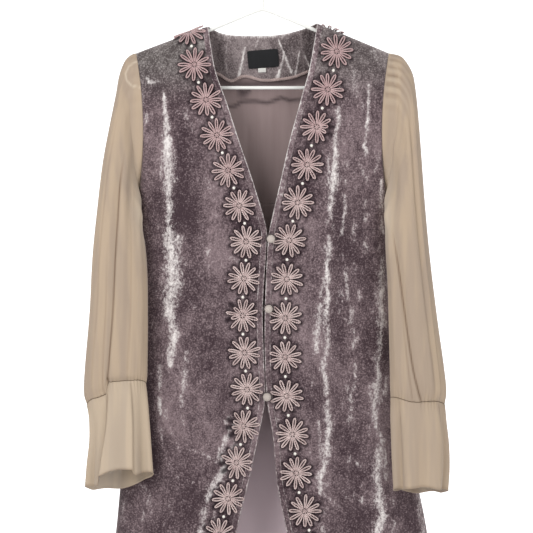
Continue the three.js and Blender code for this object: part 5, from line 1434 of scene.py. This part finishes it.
def trim_line(side):
    """Centres of the flowers and the direction of the chain at each: even steps along the line that
    lies in from the front edge."""
    first, pitch = TRIM[side]
    z = np.arange(first, HEM_Z + HEM_CLEARANCE, -1.0)

    def line_x(at):
        return front_edge(side, at) + side * along(TRIM_INSET[:, 0], TRIM_INSET[:, side_column(side)], at)

    x = line_x(z)
    walked = np.concatenate([[0], np.cumsum(np.hypot(np.diff(x), 1))])
    steps = np.arange(0, walked[-1], pitch)
    cz = np.interp(steps, walked, z)
    if side in ASTRIDE_Z:
        cz = np.concatenate([[ASTRIDE_Z[side]], cz])
    run = line_x(cz - TANGENT_REACH) - line_x(cz + TANGENT_REACH)
    ahead = unit(np.stack([run, np.full(cz.shape, -2.0 * TANGENT_REACH)], -1))
    return line_x(cz), cz, ahead, pitch


def over_top(x, below):
    """A point measured down the cloth from the top edge: below 0 on the front, above 0 on the back.
    The cloth's profile is walked in sixty short steps, all points at once."""
    side = np.where(x < 0, LEFT, RIGHT)
    top = top_z(x)[:, None]
    turn = (1 - np.cos(np.radians(2 * np.arange(61)))) / 2
    z = mix(top, UNDERARM_Z, turn[None])
    wide = np.broadcast_to(x[:, None], z.shape)
    y = np.empty(z.shape)
    for one in (LEFT, RIGHT):
        for facing in (-1, 1):
            here = (side == one) & ((below < 0) == (facing < 0))
            if here.any():
                y[here] = depth_at(one, facing, wide[here], z[here])
    length = np.hypot(np.diff(y, axis=1), np.diff(z, axis=1))
    walked = np.concatenate([np.zeros((len(x), 1)), np.cumsum(length, axis=1)], axis=1)
    reach = np.abs(below)
    i = np.clip((walked <= reach[:, None]).sum(1) - 1, 0, 59)
    row = np.arange(len(x))
    t = (reach - walked[row, i]) / np.maximum(walked[row, i + 1] - walked[row, i], 1e-9)
    return np.stack([x, mix(y[row, i], y[row, i + 1], t), mix(z[row, i], z[row, i + 1], t)], -1)


def laid(place, a, c, height):
    """Points at (a, c) of a flower, lifted along the normal of the cloth, which is the cross product of
    the cloth's steps along and across."""
    step = 1.2
    run = place(a + step, c) - place(a - step, c)
    over = place(a, c + step) - place(a, c - step)
    normal = unit(np.cross(run, over))
    return place(a, c) + normal * np.asarray(height)[..., None], normal


# %% A flower of braid
def flower_cords(curled, sway):
    """The cords of one flower, in its own flat measures (along, across, height). A loop goes out and
    back: r = root + reach (1 - cos u) / 2 and w = half width * sin u, widest past its middle."""
    u = np.linspace(0, 2 * np.pi, 18, endpoint=False)
    share = (1 - np.cos(u)) / 2
    k = np.arange(PETALS)
    reach = (PETAL_REACH - PETAL_ROOT) * (1 + 0.05 * sway[0])
    reach = np.where(np.isin(k, curled), reach * 0.62, reach)[:, None]
    rise = np.where(np.isin(k, curled), 3.2, 0.5)[:, None]
    wide = PETAL_HALF_WIDTH * (1 + 0.1 * sway[1])[:, None]
    angle = np.radians((k + 0.5) * 360 / PETALS + 3.0 * sway[2])[:, None]
    r = PETAL_ROOT + reach * share[None]
    w = wide * np.sin(u)[None] * (0.42 + 0.78 * share[None])
    rim = np.stack([r * np.cos(angle) - w * np.sin(angle), r * np.sin(angle) + w * np.cos(angle),
                    0.9 + rise * share[None] ** 2 + 0.5 * np.sin(np.pi * share)[None] + 0 * r], -1)
    t = np.linspace(0.05, 0.9, 7)[None]
    r = PETAL_ROOT + reach * t
    bend = 0.12 * np.sin(t * 5 + k[:, None])
    core = np.stack([r * np.cos(angle) - bend * np.sin(angle), r * np.sin(angle) + bend * np.cos(angle),
                     0.2 + rise * t**2 + 0.5 * np.sin(np.pi * t) + 0 * r], -1)
    return rim, core


def build_chain(name, node_name, flowers):
    """All flowers of one chain, and the beads between them, as two pieces."""
    rims, cores, knots, knot_up, beads = [], [], [], [], []
    turn = np.linspace(0, 2 * np.pi, SEEDS, endpoint=False)
    seed_a, seed_c = (np.concatenate([[0], SEED_REACH * wave(turn)]) for wave in (np.cos, np.sin))
    for place, seat, pitch, curled, last in flowers:
        sway = CHANCE.uniform(-1, 1, (3, PETALS))
        for cords, kept in zip(flower_cords(curled, sway), (rims, cores)):
            flat = cords.reshape(-1, 3)
            on_cloth, _ = laid(place, flat[:, 0], flat[:, 1], seat + flat[:, 2])
            kept.append(on_cloth.reshape(cords.shape))
        spots, up = laid(place, seed_a, seed_c, np.full(SEEDS + 1, seat + SEED_SEAT))
        knots.append(spots)
        knot_up.append(up)
        if not last:
            beads.append(laid(place, np.array([pitch / 2]), np.zeros(1), np.array([seat + PEARL_SEAT]))[0])
    rim = swept(np.concatenate(rims), RIM_RADIUS, sides=6, closed=True)
    core = swept(np.concatenate(cores), CORE_RADIUS, sides=5)
    radii = np.tile([KNOT_RADIUS] + [SEED_RADIUS] * SEEDS, len(knots))
    knot = balls(np.concatenate(knots), radii, 8, 5, 0.7, np.concatenate(knot_up))
    points, faces = gathered(rim, core, knot)
    piece = make_piece(name, points, faces, node=node_name, slot="braid", material=[BRAID_RIM, BRAID_SLIT_SHADE],
                       closed=True)
    second = np.zeros(len(faces), int)
    second[len(rim[1]):len(rim[1]) + len(core[1])] = 1
    piece.data.polygons.foreach_set("material_index", second.astype(np.int32))
    pearls = balls(np.concatenate(beads), PEARL_RADIUS, 12, 8)
    make_piece(name.replace("braid_flowers", "pearl_beads"), *pearls, slot="braid", material=[PEARL],
               closed=True)


def on_front(side, x, z, ahead):
    """The cloth at a flower's own (along, across) on a front."""

    def place(a, c):
        u, v = x + ahead[0] * a - ahead[1] * c, z + ahead[1] * a + ahead[0] * c
        v = np.minimum(v, top_z(u) - 0.01)
        return np.stack([u, cloth_y(side, -1, u, v), v], -1)

    return place


def over_shoulder(x, z, ahead):
    """The same astride the shoulder seam, where the cloth turns over to the back."""

    def place(a, c):
        u, v = x + ahead[0] * a - ahead[1] * c, z + ahead[1] * a + ahead[0] * c
        return over_top(u, v - top_z(u))

    return place


def behind_neck(x, below, ahead):
    """The same on the back, below the neck edge."""

    def place(a, c):
        u = x + ahead[0] * a + ahead[1] * c
        rise = ahead[1] * a - ahead[0] * c
        return over_top(u, below - rise + top_z(u) - top_z(np.array([float(x)])))

    return place


def paint_trim_shadow(panel, places):
    """Keeps on a panel the painted shadow round the braid, where it also presses the pile: 1 under a petal,
    falling off beside it with the fourth power of the distance to the petal's middle line."""
    count = len(panel.data.vertices)
    spots = np.empty(count * 3, np.float32)
    panel.data.vertices.foreach_get("co", spots)
    spots = spots.reshape(-1, 3) / MM
    best = np.zeros(count)
    angle = np.radians((np.arange(PETALS) + 0.5) * 360 / PETALS)
    for place in places:
        root = place(PETAL_ROOT * np.cos(angle), PETAL_ROOT * np.sin(angle))
        tip = place(PETAL_REACH * np.cos(angle), PETAL_REACH * np.sin(angle))
        near = np.linalg.norm(spots - place(np.zeros(1), np.zeros(1)), axis=1) < PETAL_REACH + 12
        some = spots[near][:, None]
        run = tip - root
        t = np.clip(((some - root) * run).sum(-1) / (run * run).sum(-1), 0, 1)
        off = np.linalg.norm(some - root - t[..., None] * run, axis=-1).min(axis=1)
        best[near] = np.maximum(best[near], bell(off, TRIM_SHADOW_HALF_WIDTH, 4))
    layer = panel.data.attributes.new("trim_shadow", "FLOAT", "POINT")
    layer.data.foreach_set("value", best.astype(np.float32))


for side in (LEFT, RIGHT):
    xs, zs, aheads, pitch = trim_line(side)
    flowers = []
    for i, (cx, cz, ahead) in enumerate(zip(xs, zs, aheads)):
        astride = side in ASTRIDE_Z and i == 0
        near_top = cz > float(top_z(cx)) - 2 * PETAL_REACH
        place = over_shoulder(cx, cz, ahead) if astride else on_front(side, cx, cz, ahead)
        seat = SHOULDER_TRIM_SEAT if near_top else TRIM_SEAT
        flowers.append((place, seat, pitch, CURLED.get((side, i), ()), i == len(xs) - 1))
    build_chain(f"braid_flowers_{side_name(side)}", f"flower_trim_{side_name(side)}", flowers)
    paint_trim_shadow(FRONTS[side], [place for place, *_ in flowers])

flowers = []
for i, (x, below) in enumerate(NECK_FLOWERS):
    final = i == len(NECK_FLOWERS) - 1
    other = NECK_FLOWERS[i - 1] if final else NECK_FLOWERS[i + 1]
    run = (-1 if final else 1) * np.array([other[0] - x, below - other[1]])
    flowers.append((behind_neck(x, below, unit(run)), SHOULDER_TRIM_SEAT, np.linalg.norm(run), (), final))
build_chain("braid_flowers_neck", "flower_trim_neck", flowers)
paint_trim_shadow(BACK, [place for place, *_ in flowers])

# %% [markdown]
# ## Buttons and their loops
# A covered button is a dome of satin drawn in underneath, on a short thread shank.
# Its loop is a thin dark cord that comes from the left edge, goes over the top, and down to the right.

# %% Buttons
BUTTON_RADIUS, BUTTON_SEAT, PLEATS, PLEAT_DEPTH, BUTTON_COLUMNS, BUTTON_ROWS = 6.2, 1.9, 14, 0.06, 48, 33
# The loop is two strands wound round each other: radius of the cord, of a strand and of the winding.
LOOP_RADIUS, STRAND_RADIUS, WIND_RADIUS, WINDINGS = 0.95, 0.6, 0.42, 9
BUTTONS = {"top": (12.6, -426), "middle": (9.2, -531), "bottom": (6.8, -663)}
# The dome's profile: radius and height, both as shares of the ball's radius, from the shank to the top.
DOME = np.array([(0.02, -1), (0.3, -0.98), (0.62, -0.86), (0.86, -0.6), (0.985, -0.2), (1, 0.1), (0.95, 0.42),
                 (0.8, 0.68), (0.55, 0.87), (0.28, 0.965), (0.02, 1)], float)


def build_button(name, x, z, seat):
    """The profile turned round the line that points out of the coat, with pleats under its widest part."""
    steps = np.linspace(0, len(DOME) - 1, BUTTON_ROWS)
    radius, height = (along(np.arange(len(DOME)), DOME[:, i], steps)[:, None] for i in (0, 1))
    angle = np.linspace(0, 2 * np.pi, BUTTON_COLUMNS, endpoint=False)[None]
    pleat = ease(height, 0.15, -0.7) * (0.5 + 0.5 * np.cos(PLEATS * angle))
    wide = BUTTON_RADIUS * radius * (1 - PLEAT_DEPTH * pleat)
    y = seat - BUTTON_RADIUS * (1 + height) + 0 * angle
    points = np.stack([x + wide * np.cos(angle), y, z + wide * np.sin(angle)], -1).reshape(-1, 3)
    away = points - np.array([x, seat - BUTTON_RADIUS, z])
    faces = faced(points, grid_faces(BUTTON_ROWS, BUTTON_COLUMNS, wraps=True), away)
    # Painted shade: the pleats, and the underside that faces the coat.
    marks = {"pleat": 0.7 * pleat + 0.5 * ease(height, -0.2, -0.9) + 0 * angle}
    make_piece(f"covered_button_{name}", points, faces, node=f"button_{name}", slot="button",
               material=[BUTTON_SATIN], marks=marks)


def build_loop(name, x, z, seat):
    """Two strands wound round an arc over the button, which sinks to the coat at both ends."""
    t = np.linspace(0, 1, 60)
    turn = np.radians(mix(205, -25, t))
    arc_y = mix(seat + 0.5, seat - BUTTON_RADIUS * 0.75, np.sin(np.pi * t) ** 0.7)
    strands = []
    for start in (0, np.pi):
        wind = t * 2 * np.pi * WINDINGS + start
        r = BUTTON_RADIUS + LOOP_RADIUS + 0.2 + WIND_RADIUS * np.cos(wind)
        y = arc_y + WIND_RADIUS * np.sin(wind)
        strands.append(np.stack([x + r * np.cos(turn), y, z + r * np.sin(turn)], -1))
    cord = swept(np.stack(strands), STRAND_RADIUS, sides=7)
    make_piece(f"cord_loop_{name}", *cord, node=f"loop_{name}", slot="loop", material=[LOOP_CORD],
               closed=True)


for name, (x, z) in BUTTONS.items():
    seat = float(depth_at(RIGHT, -1, np.array(float(x)), np.array(float(z)))) - BUTTON_SEAT
    build_button(name, x, z, seat)
    build_loop(name, x, z, seat)

# %% [markdown]
# ## The hanger
# One white tube bent into a hoop, with a hook joined on top. Two swept tubes give it its roundness.

# %% Hanger
TUBE_RADIUS, ARM_APEX_Z, ARM_SLOPE, ARM_BEND_X, APEX_ROUND = 2.6, -80.5, 0.42, 183, 6
HANGER_HALF_SPAN, BAR_Z, HOOK_RADIUS, HOOK_TIP = 206, -198, 22.6, 205


def build_hanger():
    """Straight arms with a small round at the apex, half ovals at the ends and a straight bar. The hook
    is a circle round its centre from -80 degrees to the tip."""
    x = np.concatenate([np.linspace(0, 30, 12), np.linspace(38, ARM_BEND_X, 16)])
    z = ARM_APEX_Z - ARM_SLOPE * (np.hypot(x, APEX_ROUND) - APEX_ROUND)
    middle, high, wide = (z[-1] + BAR_Z) / 2, (z[-1] - BAR_Z) / 2, HANGER_HALF_SPAN - ARM_BEND_X
    angle = np.radians(np.linspace(66, -90, 26))
    end = np.stack([ARM_BEND_X + wide * np.cos(angle), middle + high * np.sin(angle)], -1)
    half = np.concatenate([np.stack([x, z], -1), end])
    flat = np.concatenate([half, half[1:][::-1] * [-1, 1]])
    hoop = np.stack([flat[:, 0], np.zeros(len(flat)), flat[:, 1]], -1)
    angle = np.radians(np.linspace(-80, HOOK_TIP, 60))
    centre = TUBE_RADIUS - HOOK_RADIUS
    bend = np.stack([HOOK_RADIUS * np.cos(angle), 0 * angle, centre + HOOK_RADIUS * np.sin(angle)], -1)
    stem = np.array([(0, 0, ARM_APEX_Z), (0, 0, ARM_APEX_Z + 13), (0, 0, ARM_APEX_Z + 26)], float)
    hook = np.concatenate([stem, bend])
    radius = np.full(len(hook), TUBE_RADIUS)
    radius[-1], radius[-2] = 0.9, 2.1
    tubes = gathered(swept(hoop, TUBE_RADIUS, 20, closed=True), swept(hook, radius, 20))
    make_piece("tube_hanger", *tubes, node="hanger", slot="hanger", material=[HANGER_PLASTIC], closed=True)


build_hanger()

# %% [markdown]
# ## Studio
# A pale floor far below, a pale wall behind, and large soft lamps from the front.
# The wall glows a little, so that it comes out as plain as paper and shines through the sleeves.

# %% Stage, lamps and camera
scene = bpy.context.scene
scene.view_settings.view_transform = "Standard"


def build_stage(name, corners, glow):
    """A plain pale sheet of the studio."""
    mesh = bpy.data.meshes.new(name)
    mesh.from_pydata(corners, [], [(0, 1, 2, 3)])
    sheet = bpy.data.objects.new(name, mesh)
    bpy.context.collection.objects.link(sheet)
    material, _, _ = new_material(
        name, Base_Color=(0.86, 0.86, 0.86, 1), Roughness=0.9, Specular_IOR_Level=0.1,
        Emission_Color=(1, 1, 1, 1), Emission_Strength=glow,
    )
    mesh.materials.append(material)


FLOOR_Z, WALL_Y, WALL_TOP, REACH = -2.4, 18.0, 5, 26.0
SQUARE = ((-REACH, 0), (REACH, 0), (REACH, 1), (-REACH, 1))
build_stage("studio_floor", [(x, mix(-REACH, REACH, far), FLOOR_Z) for x, far in SQUARE], 0.25)
build_stage("studio_wall", [(x, WALL_Y, mix(FLOOR_Z, WALL_TOP, up)) for x, up in SQUARE], 0.85)

world = bpy.data.worlds.new("studio_air")
world.use_nodes = True
world.node_tree.nodes["Background"].inputs["Color"].default_value = (1, 1, 1, 1)
world.node_tree.nodes["Background"].inputs["Strength"].default_value = 0.55
scene.world = world


def build_lamp(name, place, aim, size, power):
    """A square soft lamp at place, turned to aim."""
    data = bpy.data.lights.new(name, "AREA")
    data.size, data.energy = size, power
    lamp = bpy.data.objects.new(name, data)
    bpy.context.collection.objects.link(lamp)
    lamp.location = place
    look = np.array(aim) - np.array(place)
    tilt, turn = math.atan2(math.hypot(look[0], look[1]), -look[2]), math.atan2(-look[0], look[1])
    lamp.rotation_euler = (tilt, 0, turn)


build_lamp("key_lamp", (-1.5, -2.1, 0.7), (0, 0, -0.5), 1.4, 40)
build_lamp("fill_lamp", (1.9, -2.2, 0.1), (0, 0, -0.5), 1.8, 22)
build_lamp("back_lamp", (0.4, 1.3, 1.2), (0, 0, -0.4), 1.2, 12)

lens = bpy.data.cameras.new("photo_camera")
lens.lens, lens.sensor_width = 400, 36
VIEW_SIZE, FRONT_OF_COAT, VIEW_X, VIEW_Z = 0.7995, -0.036, 0.006, -0.46725
camera = bpy.data.objects.new("photo_camera", lens)
bpy.context.collection.objects.link(camera)
camera.location = (VIEW_X, FRONT_OF_COAT - VIEW_SIZE * lens.lens / lens.sensor_width, VIEW_Z)
camera.rotation_euler = (math.pi / 2, 0, 0)
scene.camera = camera

# %% [markdown]
# ## The sizes
# The surface area of each sheet is printed.


def surface_area(piece):
    """Half the sum of the cross products of each face's diagonals, in square metres."""
    mesh = piece.data
    places = np.empty(len(mesh.vertices) * 3)
    mesh.vertices.foreach_get("co", places)
    corners = np.empty(len(mesh.polygons) * 4, np.int32)
    mesh.loops.foreach_get("vertex_index", corners)
    a, b, c, d = places.reshape(-1, 3)[corners.reshape(-1, 4)].transpose(1, 0, 2)
    return float(np.linalg.norm(np.cross(c - a, d - b), axis=1).sum() / 2)


for piece in (*FRONTS.values(), BACK, *SLEEVES.values(), *FLOUNCES.values(), FACING, LABEL):
    print(piece.name, "area", round(surface_area(piece), 5))
for side, sleeve_area, flounce_area in ((LEFT, 0.103, 0.0315), (RIGHT, 0.1015, 0.0305)):
    name = side_name(side)
